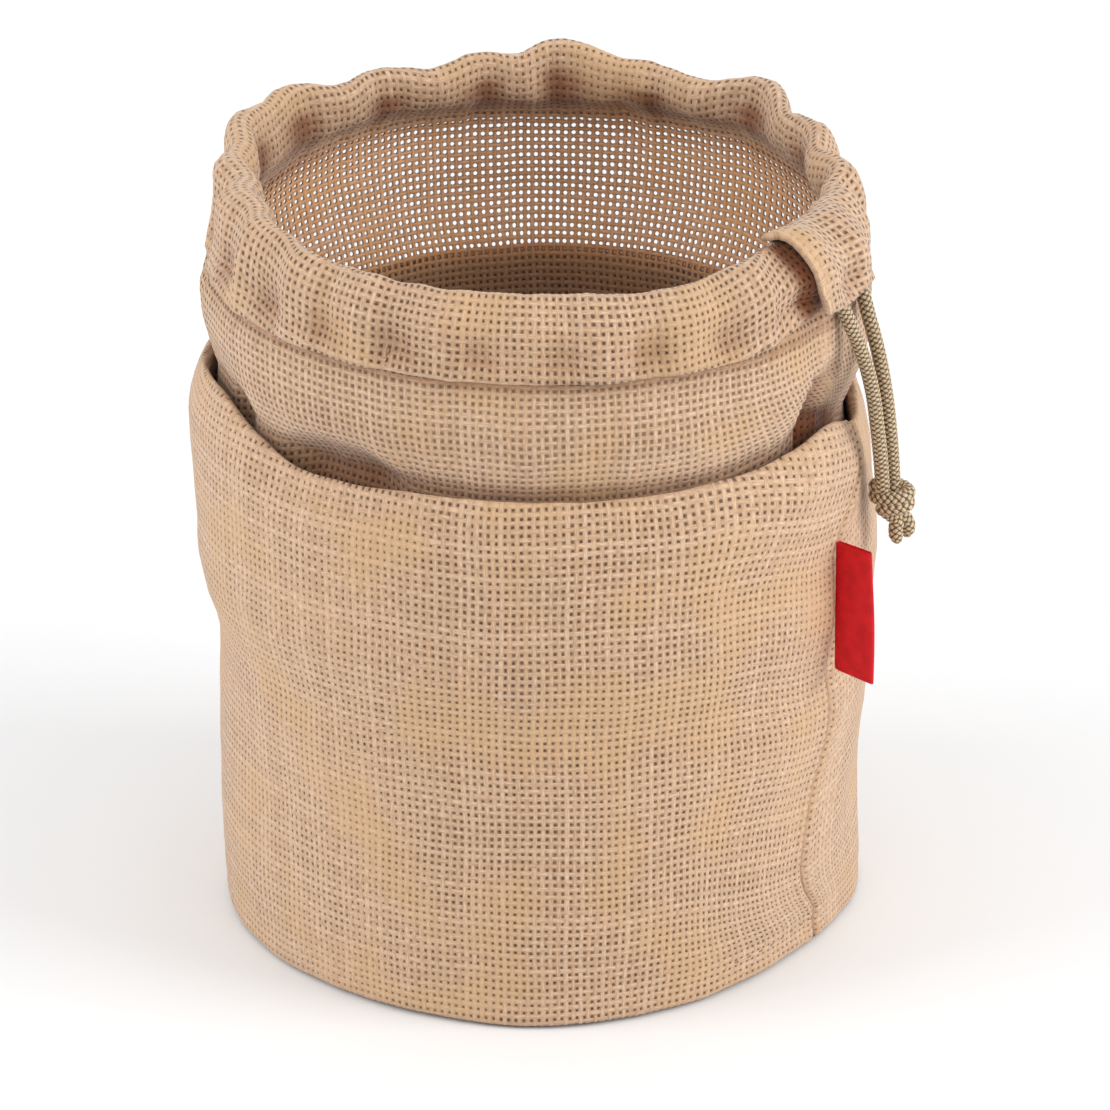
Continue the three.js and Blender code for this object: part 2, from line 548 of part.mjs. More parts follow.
add('bag_wall', wallGeometry(), JUTE);
add('base_disc', baseGeometry(), JUTE_BASE);
add('drawstring_run', tube(runPoints(), CORD_DIAMETER, 80), CORD_KHAKI);
add('drawstring_front_end', tube(routePoints(FRONT_END), CORD_DIAMETER, 20), CORD_KHAKI);
add('drawstring_back_end', tube(routePoints(BACK_END), CORD_DIAMETER, 22), CORD_KHAKI);
add('drawstring_knot', await knotGeometry(), CORD_KHAKI);
const label = labelMesh();
label.name = 'side_label';
bag.add(label);

export default bag;
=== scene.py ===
# %% [markdown]
# # A jute storage bag with a drawstring
#
# The real bag is sewn from one wide strip of open, plain-woven jute. The strip is joined into a tube at
# the side seam and closed below by a round base. The tube rises as the outer wall, folds back on itself
# at two thirds of the height, and comes up again as an inner sack, whose top is gathered into a casing
# with a braided cord in it. This lesson makes each piece in turn, and then its finish.
#
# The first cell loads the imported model, which is the fixed frame that everything has to fit.

# %% The frame
import math

import bpy
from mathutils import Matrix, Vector, noise


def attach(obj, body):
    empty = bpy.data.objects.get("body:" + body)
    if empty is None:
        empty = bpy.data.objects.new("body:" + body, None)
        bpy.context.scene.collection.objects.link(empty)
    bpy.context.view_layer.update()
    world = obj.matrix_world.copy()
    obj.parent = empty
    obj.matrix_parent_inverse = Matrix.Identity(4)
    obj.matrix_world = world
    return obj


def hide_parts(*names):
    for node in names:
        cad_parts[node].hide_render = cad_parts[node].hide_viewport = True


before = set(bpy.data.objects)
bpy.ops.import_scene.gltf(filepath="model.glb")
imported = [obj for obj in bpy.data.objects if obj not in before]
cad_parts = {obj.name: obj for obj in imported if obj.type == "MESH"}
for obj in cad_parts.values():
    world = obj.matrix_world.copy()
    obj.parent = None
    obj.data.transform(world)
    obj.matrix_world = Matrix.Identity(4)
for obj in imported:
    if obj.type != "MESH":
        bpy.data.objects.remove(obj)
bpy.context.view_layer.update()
MM = 0.001  # the tables below are in millimetres, as a maker would measure them
print("frame loaded, with", len(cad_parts), "nodes")

# %% [markdown]
# ## The camera
#
# A long lens from far away keeps the bag's sides nearly parallel, as in a product photograph. The camera
# stands a little over two metres in front and looks down at about 24 degrees.

# %% The camera
VIEW_DOWN = 24.1       # degrees
SENSOR_WIDTH = 36      # millimetres, as the lens
LENS = 305.5
FARTHEST = 50          # metres that the camera sees
CAMERA_PLACE = (0.00276, -2.33595, 1.14531)
camera_data = bpy.data.cameras.new("camera")
camera_data.sensor_width = SENSOR_WIDTH
camera_data.lens = LENS
camera_data.clip_end = FARTHEST
camera = bpy.data.objects.new("camera", camera_data)
camera.location = CAMERA_PLACE
camera.rotation_euler = (math.radians(90 - VIEW_DOWN), 0, 0)
bpy.context.collection.objects.link(camera)
bpy.context.scene.camera = camera
print("camera looks down at", VIEW_DOWN, "degrees")

# %% [markdown]
# ## Small helpers
#
# A round bag is easiest to describe by azimuth, radius and height. Azimuth 0 is the front, and it grows
# towards the right. Two kinds of curve are used: an eased step, and a smooth curve through given points.


# %% Helpers for numbers and points
def mix(a, b, t):
    return a + (b - a) * t


def ease(t):
    t = min(1, max(0, t))
    return t * t * (3 - 2 * t)


def bump(t):
    return math.cos(t * math.pi / 2) ** 2 if abs(t) < 1 else 0


def hill(value, middle, half):
    """1 in the middle, and softly down to 0 at half a width from it."""
    return bump((value - middle) / half)


def turn_to(a, b):
    return (a - b + 180) % 360 - 180


def polar(azimuth, radius, height):
    a = math.radians(azimuth)
    return Vector((radius * math.sin(a), -radius * math.cos(a), height))


def smooth_between(before, start, end, after, t):
    """A point between start and end on a centripetal Catmull-Rom curve through all four."""
    first = max((start - before).length ** 0.5, 1e-6)
    middle = max((end - start).length ** 0.5, 1e-6)
    last = max((after - end).length ** 0.5, 1e-6)
    leave = (start - before) / first - (end - before) / (first + middle) + (end - start) / middle
    arrive = (end - start) / middle - (after - start) / (middle + last) + (after - end) / last
    leave = leave * middle
    arrive = arrive * middle
    t2 = t * t
    t3 = t2 * t
    return (start * (2 * t3 - 3 * t2 + 1) + leave * (t3 - 2 * t2 + t)
            + end * (3 * t2 - 2 * t3) + arrive * (t3 - t2))


def smooth_line(points, steps):
    """Many points on one smooth curve through a few. steps is a number, or one for each stretch."""
    ends = [points[0] * 2 - points[1], *points, points[-1] * 2 - points[-2]]
    line = []
    for i in range(len(points) - 1):
        count = steps if isinstance(steps, int) else steps[i]
        line += [smooth_between(*ends[i:i + 4], k / count) for k in range(count)]
    return [*line, points[-1].copy()]


def even_line(line, spacing):
    """The same line with its points an even distance apart, near spacing, and its length."""
    total = sum((b - a).length for a, b in zip(line, line[1:]))
    count = max(2, round(total / spacing))
    even = [line[0].copy()]
    walked = 0
    for a, b in zip(line, line[1:]):
        length = (b - a).length
        while len(even) < count and walked + length >= total * len(even) / count:
            even.append(a.lerp(b, (total * len(even) / count - walked) / length))
        walked += length
    return [*even, line[-1].copy()], total


def link_mesh(name, points, faces):
    """A new object at the origin, with its place in its mesh."""
    mesh = bpy.data.meshes.new(name)
    mesh.from_pydata(points, [], faces)
    mesh.update()
    piece = bpy.data.objects.new(name, mesh)
    bpy.context.collection.objects.link(piece)
    for face in mesh.polygons:
        face.use_smooth = True
    return piece


# %% [markdown]
# ## The drawstring
#
# The cord is a round braid, 4 mm thick. Half of its thin strands wind to the left and half to the right,
# over and under each other: five each way here. A plain tube with a bump would lose this at its outline,
# so each strand is raised in the mesh: the tube is pushed in wherever two strands meet.
#
# Each route is a short list of azimuth, radius and height: through the casing, out of the slit at the side
# seam, and down to the knot. A limp cord hangs nearly straight, so the curve is gentle.

# %% The braid
CORD_DIAMETER = 0.004
BRAID_STRANDS = 5      # in each direction
BRAID_STITCH = 0.0015  # length of one strand's crossing along the cord
BRAID_DEPTH = 0.2      # how deep the gaps are, as a share of the radius
BRAID_SWELL = 1.04     # the crowns stand a little over the cord's radius
CROWN_END = 0.35       # height of a strand where it goes under another
TIP_WIDTH = 0.35       # of the cord's, where a tail is sealed
CAP_CROWN = 0.4        # the tone of a cut end


def braid_crown(share, along):
    """1 on top of a strand and 0 in a gap. share goes once round the cord, and along is a length."""
    left = BRAID_STRANDS * share + along / BRAID_STITCH
    right = BRAID_STRANDS * share - along / BRAID_STITCH
    left_over = (math.floor(left) + math.floor(right)) % 2 == 0
    across, lengthwise = (left, right) if left_over else (right, left)
    round_top = math.sin(math.pi * (across % 1)) ** 0.8
    return round_top * mix(CROWN_END, 1, math.sin(math.pi * (lengthwise % 1)) ** 0.5)


def add_braid(points, faces, crowns, line, spacing, around, taper=0.0):
    """Adds one closed braided tube to the lists. The last taper metres narrow to a sealed tip."""
    even, total = even_line(line, spacing)
    first = len(points)
    side = Vector((0, 0, 1)).cross(even[1] - even[0])
    if side.length < 1e-6:
        side = Vector((1, 0, 0))
    for k, place in enumerate(even):
        ahead = (even[min(k + 1, len(even) - 1)] - even[max(k - 1, 0)]).normalized()
        side = (side - ahead * side.dot(ahead)).normalized()
        other = ahead.cross(side)
        along = total * k / (len(even) - 1)
        left = max(0, total - along)
        narrow = 1 if left >= taper else mix(TIP_WIDTH, 1, (left / taper) ** 0.6)
        for j in range(around):
            angle = 2 * math.pi * j / around
            crown = braid_crown(j / around, along)
            radius = CORD_DIAMETER / 2 * narrow * (BRAID_SWELL - BRAID_DEPTH * (1 - crown))
            points.append(place + (side * math.cos(angle) + other * math.sin(angle)) * radius)
            crowns.append(crown)
    rings = len(even)
    for k in range(rings - 1):
        here = first + k * around
        for j in range(around):
            after = (j + 1) % around
            faces.append((here + j, here + after, here + around + after, here + around + j))
    for k, place in ((0, even[0]), (rings - 1, even[-1])):
        points.append(place.copy())
        crowns.append(CAP_CROWN)
        ring = first + k * around
        for j in range(around):
            pair = (ring + j, ring + (j + 1) % around)
            faces.append((*pair[::-1], len(points) - 1) if k == 0 else (*pair, len(points) - 1))
    return total


def braid_piece(name, lines, spacing=0.00028, around=50, taper=0.0):
    points, faces, crowns = [], [], []
    lengths = [add_braid(points, faces, crowns, line, spacing, around, taper) for line in lines]
    piece = link_mesh(name, points, faces)
    layer = piece.data.attributes.new("crown", "FLOAT", "POINT")
    layer.data.foreach_set("value", crowns)
    print(name, "is", [round(x * 1000) for x in lengths], "mm long, with", len(faces), "faces")
    return piece, lengths


# %% The two free ends
# azimuth in degrees, radius and height in metres
FRONT_ROUTE = [
    (49.0, 0.0866, 0.2010), (52.0, 0.0856, 0.2004), (55.0, 0.0863, 0.1997), (57.4, 0.0881, 0.1979),
    (59.2, 0.0897, 0.1946), (60.3, 0.0910, 0.1906), (61.2, 0.0921, 0.1864), (62.5, 0.0930, 0.1818),
    (64.5, 0.0942, 0.1736), (66.5, 0.0950, 0.1638), (68.1, 0.0954, 0.1529), (69.8, 0.0955, 0.1425),
    (70.8, 0.0956, 0.1335),
]
BACK_ROUTE = [
    (79.0, 0.0820, 0.2010), (76.4, 0.0822, 0.2007), (74.0, 0.0829, 0.2000), (72.0, 0.0845, 0.1985),
    (70.7, 0.0869, 0.1960), (69.9, 0.0888, 0.1928), (69.4, 0.0904, 0.1892), (69.2, 0.0918, 0.1846),
    (69.4, 0.0932, 0.1794), (69.9, 0.0948, 0.1717), (70.8, 0.0962, 0.1610), (71.8, 0.0970, 0.1495),
    (72.8, 0.0973, 0.1400), (73.4, 0.0973, 0.13425),
]
front_line = smooth_line([polar(*place) for place in FRONT_ROUTE], 12)
back_line = smooth_line([polar(*place) for place in BACK_ROUTE], 12)
front_end, (front_length,) = braid_piece("drawstring_front", [front_line])
back_end, (back_length,) = braid_piece("drawstring_back", [back_line])

# %% [markdown]
# ## The knot
#
# Both ends are tied together: one end is wound about twice round the other, and two short tails hang
# below. The winding is a flattened helix, so the knot shows round turns of cord, one above the other, and
# the tails leave below it with their tips sealed and drawn in.

# %% The knot and its tails
KNOT_AZIMUTH = 72.3
KNOT_CENTRE = polar(KNOT_AZIMUTH, 0.0975, 0.1282)
KNOT_OUT = polar(KNOT_AZIMUTH, 1, 0)
KNOT_ROUND = polar(KNOT_AZIMUTH + 90, 1, 0)
WIND = {"turns": 1.9, "from": 150, "out": 4.4, "side": 3.5, "top": 5.6, "bottom": 0.4, "points": 22}
TIP = 0.0022           # length of a sealed tip
# how far out, to the side and up from the knot's centre, in millimetres
FRONT_TAIL = [(1.8, -1.5, -3.4), (1.7, -1.9, -5.6), (1.9, -2.0, -7.6), (2.5, -1.9, -9.8)]
BACK_TAIL = [(0.4, 0.8, 3.0), (0.6, 0.4, 0.4), (2.8, 0.8, -2.6), (4.1, 1.4, -5.0), (4.1, 1.6, -7.2),
             (3.6, 1.5, -9.2)]


def knot_point(out, side, up):
    return KNOT_CENTRE + (KNOT_OUT * out + KNOT_ROUND * side + Vector((0, 0, up))) * MM


def winding():
    """The two turns of the front end round the back end."""
    for k in range(WIND["points"] + 1):
        t = k / WIND["points"]
        angle = math.radians(WIND["from"] + 360 * WIND["turns"] * t)
        yield knot_point(WIND["out"] * math.cos(angle), -WIND["side"] * math.sin(angle),
                         mix(WIND["top"], WIND["bottom"], t))


front_knot = [front_line[-1], *winding(), *(knot_point(*place) for place in FRONT_TAIL)]
back_knot = [back_line[-1], *(knot_point(*place) for place in BACK_TAIL)]
knot, _ = braid_piece("drawstring_knot_tied", [smooth_line(front_knot, 8), smooth_line(back_knot, 8)],
                      taper=TIP)

# %% [markdown]
# ## The shape of the cloth
#
# Soft cloth is uneven, so the bag's outline is a table: a row for each azimuth, with the radius of the wall
# at five heights and the height of the fold. A second table has the sack and its casing above the fold. A
# smooth closed curve runs through each column. The gathers round the rim are a table of their own, and so
# are the dents that hands have left.

# %% The tables of the bag's outline
CLOTH = 1.5            # full thickness of the jute, yarn crowns included
AIR = 0.3
LAYER_STEP = 3.0       # from the middle of one hidden layer to the next
BASE_THICK = 1.8
SEAM_ALLOWANCE = 10
CHEST_HEIGHT = 84
BULGE_HEIGHT = 106
WAIST_HEIGHT = 34
HIGH_WALL = 129
PLEAT_BOTTOM = 99.5
FOLD_BEND = 3.2
FOLD_SHOULDER = 13
FOLD_LEAN = 2.0
STITCH_RISE = 6.0      # at the back the casing is narrower, so its stitch line is higher
RISE_FROM = 110        # degrees from the front where the rise starts
RISE_OVER = 35         # and how many it takes
SACK_START = 1.5       # the sack comes out of the fold at this height above it
SACK_SWELL = 16.5      # and is at its full width this much higher
SWELL_CURVE = 1.6
SACK_LAYER = 1.87      # how many layers in from the fold's outside it comes out
NECK_HEIGHT = 182
STITCH_HEIGHT = 190
CASING_EDGE = 189.4
RIM_TURN = 2.4
RIM_OUTSIDE = 0.8
CHANNEL_DEPTH = 8.6
CHANNEL_GATHER = 0.6   # share of the gathers that the channel's inner side follows
CORD_IN_CHANNEL = 3.2  # from the channel's inner side to the cord's middle
CASING_STEP = 2.1
CORD_HEIGHT = 201
UNDER_WALL = BASE_THICK + AIR + CLOTH / 2

WALL_COLUMNS = ("azimuth", "foot", "waist", "chest", "bulge", "top", "fold")
WALL_OUTLINE = [
    (-180, 86.0, 87.6, 88.4, 91.8, 92.2, 155.0),
    (-150, 86.0, 87.6, 88.4, 91.6, 92.4, 154.0),
    (-120, 86.5, 87.9, 88.3, 91.8, 93.6, 154.5),
    (-90, 86.8, 88.1, 88.1, 93.1, 95.3, 159.0),
    (-72, 86.0, 87.9, 88.4, 93.4, 95.0, 162.0),
    (-58, 85.2, 87.3, 88.5, 93.0, 93.8, 156.5),
    (-45, 84.6, 86.9, 88.6, 92.4, 92.6, 152.5),
    (-24, 85.2, 87.2, 88.5, 92.0, 92.0, 154.0),
    (0, 86.2, 87.6, 88.4, 91.8, 91.8, 154.0),
    (26, 82.6, 86.4, 88.2, 91.4, 91.4, 154.0),
    (48, 79.8, 85.0, 87.8, 91.0, 90.8, 155.5),
    (61, 79.8, 84.6, 87.6, 90.6, 90.2, 157.0),
    (76, 82.4, 84.8, 87.8, 89.8, 88.8, 149.0),
    (92, 86.2, 85.8, 88.0, 89.4, 87.4, 147.0),
    (120, 86.6, 87.2, 88.4, 90.4, 89.8, 151.0),
    (150, 86.2, 87.6, 88.4, 91.4, 91.4, 154.5),
]

TOP_COLUMNS = ("azimuth", "neck", "stitch", "casing", "rim", "roll", "lip")
TOP_OUTLINE = [
    (-180, 90.0, 88.5, 90.5, 86.5, 3.8, 213.5),
    (-150, 90.3, 88.5, 90.5, 85.5, 3.8, 212.5),
    (-120, 91.4, 89.0, 91.4, 87.0, 3.8, 214.5),
    (-104, 91.6, 88.6, 89.0, 84.0, 4.4, 213.5),
    (-88, 91.8, 88.3, 87.4, 81.6, 5.4, 213.0),
    (-72, 92.0, 89.0, 88.8, 81.8, 5.2, 213.5),
    (-58, 91.6, 89.4, 90.0, 83.6, 4.4, 213.5),
    (-45, 90.8, 89.4, 91.0, 84.8, 3.8, 212.5),
    (-24, 90.2, 89.4, 91.2, 84.5, 3.6, 211.5),
    (0, 90.0, 89.2, 91.2, 84.0, 3.6, 211.0),
    (26, 90.0, 89.2, 91.2, 84.0, 3.6, 210.5),
    (48, 89.4, 88.6, 90.8, 81.8, 4.0, 213.0),
    (61, 88.4, 87.6, 89.6, 79.0, 4.4, 213.0),
    (76, 87.2, 85.8, 86.8, 78.6, 4.2, 212.0),
    (92, 86.8, 84.3, 84.8, 78.6, 3.6, 211.8),
    (108, 87.6, 85.2, 85.2, 79.2, 3.4, 212.4),
    (120, 88.6, 86.2, 87.0, 80.6, 3.4, 212.5),
    (135, 89.5, 87.4, 89.4, 84.6, 3.6, 212.3),
    (150, 90.0, 88.2, 90.2, 85.4, 3.8, 212.0),
]

LIFT_LOSS = 0.45       # a dip between two gathers is this much lower, as a share of its depth
# azimuth of a crest, how far it stands out and up, and how deep the dip after it is
GATHERS = [
    (-169, 0.5, 0.5, 3.2), (-148, 1.2, 0.5, 3.6), (-128, 2.6, 1.0, 1.6), (-112, 3.0, 1.0, 2.2),
    (-96, 2.0, 0.6, 2.4), (-80, 1.4, 0.2, 2.0), (-63, 1.2, 0.4, 2.0), (-47, 0.6, 0.0, 1.6),
    (-32, 0.8, 0.4, 1.8), (-18, 0.4, 0.0, 1.6), (-4, 0.6, 0.2, 1.4), (10, 0.8, 0.4, 1.8),
    (25, 0.6, 0.0, 1.6), (39, 0.8, 0.2, 1.8), (54, 0.8, 0.6, 1.6), (68, 0.8, 0.2, 2.0),
    (81, 1.2, 0.2, 2.2), (95, 1.4, 0.2, 3.2), (114, 1.0, 0.6, 3.6), (137, 3.4, 1.4, 3.6),
    (159, -0.8, -0.2, 1.4), (178, 2.6, 2.6, 3.2),
]

# azimuth, height, half spread round and up, and depth
SACK_DENTS = [
    (-34, 156, 14, 12, 2.0), (60, 162, 7, 14, 2.4), (74, 156, 8, 10, 2.2), (150, 163, 16, 12, 3.0),
    (-140, 165, 13, 14, 3.4), (-66, 161, 3, 4, 3.4),
]
# pockets pushed in above the fold, with an arched edge: azimuth, height of the foot, half width, tall, depth
SACK_POCKETS = [(-39, 151, 17, 15.5, 4.8)]
POCKET_EDGE = 0.6      # share of a pocket's size that its sloping edge takes
# one sharp fold at the right of the sack: where it is, the azimuths of its ends and middle, how deep it
# steps in, how many degrees each of its sides takes, and the part of its height where it shows
CREASE = {"foot": 155, "tall": 20, "low": 57.5, "high": 58.5, "middle": 53, "depth": 5.4,
          "steep": 1.6, "slow": 10, "centre": 0.45, "reach": 0.75}
# as the sack's dents
WALL_DENTS = [
    (-66, 66, 12, 16, 1.0), (-52, 46, 12, 14, 0.8), (84, 34, 12, 12, 1.2), (128, 96, 16, 20, 1.4),
    (-150, 62, 18, 22, 1.2),
]

# %% [markdown]
# The functions below read the tables. They follow those of the bag's own solids, with finer dents and
# gathers, so the cloth made here lies where the solids are.


# %% Reading the outline
def outline(name, azimuth):
    """A column of either table at any azimuth, on a smooth closed curve through its rows."""
    columns, table = (WALL_COLUMNS, WALL_OUTLINE) if name in WALL_COLUMNS else (TOP_COLUMNS, TOP_OUTLINE)
    column = columns.index(name)
    count = len(table)
    a = turn_to(azimuth, 0)

    def place(i):
        return table[i % count][0] + 360 * (i // count)

    def value(i):
        return table[i % count][column]

    i = 0
    while i < count - 1 and place(i + 1) <= a:
        i += 1
    span = place(i + 1) - place(i)
    before = (value(i + 1) - value(i - 1)) / (place(i + 1) - place(i - 1))
    after = (value(i + 2) - value(i)) / (place(i + 2) - place(i))
    t = (a - place(i)) / span
    t2 = t * t
    t3 = t2 * t
    return ((2 * t3 - 3 * t2 + 1) * value(i) + (t3 - 2 * t2 + t) * span * before
            + (3 * t2 - 2 * t3) * value(i + 1) + (t3 - t2) * span * after)


def between_gathers(azimuth):
    """The gathers before and after an azimuth, and how far it lies from the first to the second."""
    for crest, following in zip(GATHERS, [*GATHERS[1:], GATHERS[0]]):
        span = (following[0] - crest[0]) % 360
        along = (azimuth - crest[0]) % 360
        if along <= span:
            break
    return crest, following, along / span


def gather(azimuth):
    """How far the gathers push the rim out and up."""
    (_, out, up, dip), (_, next_out, next_up, _), t = between_gathers(azimuth)
    dip *= math.sin(math.pi * t) ** 2
    return mix(out, next_out, ease(t)) - dip, mix(up, next_up, ease(t)) - LIFT_LOSS * dip


def dents(table, azimuth, height):
    return sum(depth * bump(turn_to(azimuth, middle) / (2 * spread)) * bump((height - level) / (2 * tall))
               for middle, level, spread, tall, depth in table)


def pocket(azimuth, height):
    """How far the sack is pushed in at a pocket. The edge is steep, and the inside is flat."""
    total = 0
    for middle, foot, half, tall, depth in SACK_POCKETS:
        from_middle = math.hypot(turn_to(azimuth, middle) / half, (height - foot) / tall)
        total += depth * ease((1 - from_middle) / POCKET_EDGE)
    return total


def crease(azimuth, height):
    """How far the sack steps in at its sharp fold. It is steep on the left and slow on the right."""
    up = (height - CREASE["foot"]) / CREASE["tall"]
    bow = mix(CREASE["low"], CREASE["high"], up) - CREASE["middle"]
    away = turn_to(azimuth, CREASE["middle"] + bow * min(1, (2 * up - 1) ** 2))
    if away < 0:
        side = ease(1 + away / CREASE["steep"])
    else:
        side = 1 - ease(away / CREASE["slow"])
    return CREASE["depth"] * side * hill(up, CREASE["centre"], CREASE["reach"])


def pressed_in(azimuth, height):
    """All that pushes the sack in at a point: soft dents, pockets and the crease."""
    return dents(SACK_DENTS, azimuth, height) + pocket(azimuth, height) + crease(azimuth, height)


def wall_radius(azimuth, height):
    radius = mix(outline("foot", azimuth), outline("waist", azimuth), ease(height / WAIST_HEIGHT))
    radius = mix(radius, outline("chest", azimuth),
                 ease((height - WAIST_HEIGHT) / (CHEST_HEIGHT - WAIST_HEIGHT)))
    radius = mix(radius, outline("bulge", azimuth),
                 ease((height - CHEST_HEIGHT) / (BULGE_HEIGHT - CHEST_HEIGHT)))
    shoulder = outline("fold", azimuth) - FOLD_SHOULDER
    radius = mix(radius, outline("top", azimuth), ease((height - BULGE_HEIGHT) / (shoulder - BULGE_HEIGHT)))
    return radius - dents(WALL_DENTS, azimuth, height)


# %% [markdown]
# ## The rows of the wall
#
# The cloth is laid out as a grid: columns run round the bag from the side seam, and rows run from the seam
# allowance on the base up the outer wall, over the fold, down and up the hidden pleat, up the sack, over
# the rim and down to the casing's edge. Each row below has a name, the number of steps to the next row,
# how sheer it is, and its radius and height at an azimuth.
#
# At the slit the casing isn't closed: the end that comes from the right is a hemmed flap, and the end that
# comes from the front goes under it. So the first and the last column lie apart there.

# %% The slit and the side seam
SEAM_AZIMUTH = 60.0
# height and azimuth of the side seam, from the floor to the fold
SEAM_LINE = [(0, 66), (10, 64), (24, 57), (32, 54.5), (50, 57), (71, 61), (89, 58.8), (125, 58.6),
             (131, 62), (142, 69), (150, 71)]
NECK_SEAM = 56.0       # azimuth of the side seam at the neck
SEAM_REACH = 42        # the columns bend towards the seam from this many degrees away
# the flap's place in degrees, how far it stands out and up at the rim and at its low edge, and how much
# more its front edge, "curl" degrees wide, is lifted
FLAP = {"middle": 60, "half": 10, "fade": 11, "out_high": 1.8, "out_low": 3.6, "up_high": 0.8, "up_low": 3.6,
        "curl": 11, "curl_up": 2.6, "out_inside": -0.3}
FLAP_WAVES = [(66, 11, 1.2), (86, 15, -2.2)]  # azimuth, half width and rise of the waves in its low edge
FLAP_TOP = 47.0        # azimuth of the flap's edge at the rim
FLAP_TIP = 51.5        # and at its tip
FLAP_CUT = 0.8         # how the edge bends between the two
FRONT_END_TOP = 54.0   # azimuth of the front casing's end, under the flap
FRONT_END_LOW = 58.0
FRONT_RISE = 6.5       # how far the front casing's edge rises towards the slit
RISE_WIDTH = 26        # and over how many degrees
# the front's end dives under the flap: over how many degrees, how deep at the rim, at the low edge and
# over the cord, how tall the cord's room is, how far the rim drops, and the share on the rim's inner side
FRONT_DIVE = {"from": 10, "high": 2.6, "low": 2.2, "cord": -0.5, "room": 4, "drop": 1.5, "inside": -0.5}
# the cord shows through the front as a soft ridge: how high, how far from the end, half as wide and as
# tall, and how far above the cord's middle
CORD_RELIEF = {"out": 2.3, "middle": 8.5, "half": 9, "tall": 6, "above": 1}
RIM_PART = 0.3         # the rim's share of the way from its inner side down to the casing's edge


def seam_azimuth(height):
    for (low, start), (high, end) in zip(SEAM_LINE, SEAM_LINE[1:]):
        if height <= high:
            return mix(start, end, ease((height - low) / (high - low)))
    return SEAM_LINE[-1][1]


def flap_share(azimuth):
    """1 in the middle of the flap and 0 away from it."""
    return 1 - ease((abs(turn_to(azimuth, FLAP["middle"])) - FLAP["half"]) / FLAP["fade"])


def flap_edge(down):
    """Azimuth of the flap's front edge. down is 0 at the rim and 1 at the casing's low edge."""
    return mix(FLAP_TOP, FLAP_TIP, down)


def flap_shift(azimuth, down):
    """How far the flap stands out, and how far it is lifted."""
    share = flap_share(azimuth)
    over_rim = ease(down / RIM_PART)
    out = share * mix(FLAP["out_high"], FLAP["out_low"], down) * mix(FLAP["out_inside"], 1, over_rim)
    up = share * mix(FLAP["up_high"], FLAP["up_low"], down)
    up += FLAP["curl_up"] * hill(azimuth, flap_edge(down), FLAP["curl"])
    up += down * sum(rise * hill(azimuth, middle, half) for middle, half, rise in FLAP_WAVES)
    return out, up


def front_shift(height, down, from_edge):
    """How far the front's end is pushed out, and how far it rises. from_edge is in degrees."""
    dive = bump(from_edge / FRONT_DIVE["from"])
    over_rim = ease(down / RIM_PART)
    deep = mix(FRONT_DIVE["high"], FRONT_DIVE["low"], down) * mix(FRONT_DIVE["inside"], 1, over_rim)
    at_cord = hill(height, CORD_HEIGHT, FRONT_DIVE["room"])
    ridge = hill(from_edge, CORD_RELIEF["middle"], CORD_RELIEF["half"])
    ridge *= bump((height - CORD_HEIGHT - CORD_RELIEF["above"]) / CORD_RELIEF["tall"])
    out = CORD_RELIEF["out"] * ridge - dive * mix(deep, FRONT_DIVE["cord"], at_cord)
    up = FRONT_RISE * down * ease(1 - from_edge / RISE_WIDTH) - FRONT_DIVE["drop"] * dive * (1 - down)
    return out, up


# %% The rows
def stitch_rise(a):
    return STITCH_RISE * ease((abs(turn_to(a, 0)) - RISE_FROM) / RISE_OVER)


def foot_row(a, inset, up):
    return outline("foot", a) - inset, UNDER_WALL + up


def wall_row(a, height):
    return wall_radius(a, height), height


def fold_row(a, layer, up):
    return outline("top", a) - FOLD_LEAN - layer * LAYER_STEP, outline("fold", a) + up


def pleat_row(a, layer, up):
    return wall_radius(a, PLEAT_BOTTOM + FOLD_BEND) - layer * LAYER_STEP, PLEAT_BOTTOM + up


def sack_row(a, up):
    """up is 0 just above the fold and 1 at the neck."""
    height = mix(outline("fold", a) + SACK_START, NECK_HEIGHT + 1, up)
    above = height - outline("fold", a) - SACK_START
    swell = 1 - max(0, 1 - above / SACK_SWELL) ** SWELL_CURVE
    tucked = fold_row(a, SACK_LAYER, 0)[0]
    return mix(tucked, outline("neck", a), swell) - pressed_in(a, height), height


def casing_inside(a, height):
    return outline("casing", a) - CHANNEL_DEPTH + CHANNEL_GATHER * gather(a)[0], height


def rim_row(a, across, up, share):
    """across is in widths of the rim's roll, and share is how much of the gathers the row follows."""
    out, lift = gather(a)
    radius = outline("rim", a) + across * outline("roll", a) + share * out
    return radius, outline("lip", a) + up + share * lift


def casing_outside(a, height, share):
    rim_radius = rim_row(a, RIM_OUTSIDE, 0, 1)[0]
    top = outline("lip", a) - RIM_TURN
    low = mix(outline("stitch", a) + CASING_STEP, outline("casing", a),
              ease((height - STITCH_HEIGHT) / (CORD_HEIGHT - STITCH_HEIGHT)))
    into_rim = ease((height - CORD_HEIGHT - 1) / (top - CORD_HEIGHT - 1))
    return mix(low + share * gather(a)[0], rim_radius, into_rim), height


DIP_USUAL = 1.8
DIP_MOST = 1.5         # times the usual dip
SLIT_CALM = {"azimuth": 50, "half": 14, "share": 0.8}  # beside the slit the casing is nearly smooth


def dimple(a):
    """About 1 in the middle between two gathers and 0 at each gather."""
    crest, _, t = between_gathers(a)
    calm = 1 - SLIT_CALM["share"] * hill(a, SLIT_CALM["azimuth"], SLIT_CALM["half"])
    return min(DIP_MOST, crest[3] / DIP_USUAL) * calm * math.sin(math.pi * t) ** 2


def pressed(place, a, depth):
    return place[0] - depth * dimple(a), place[1]


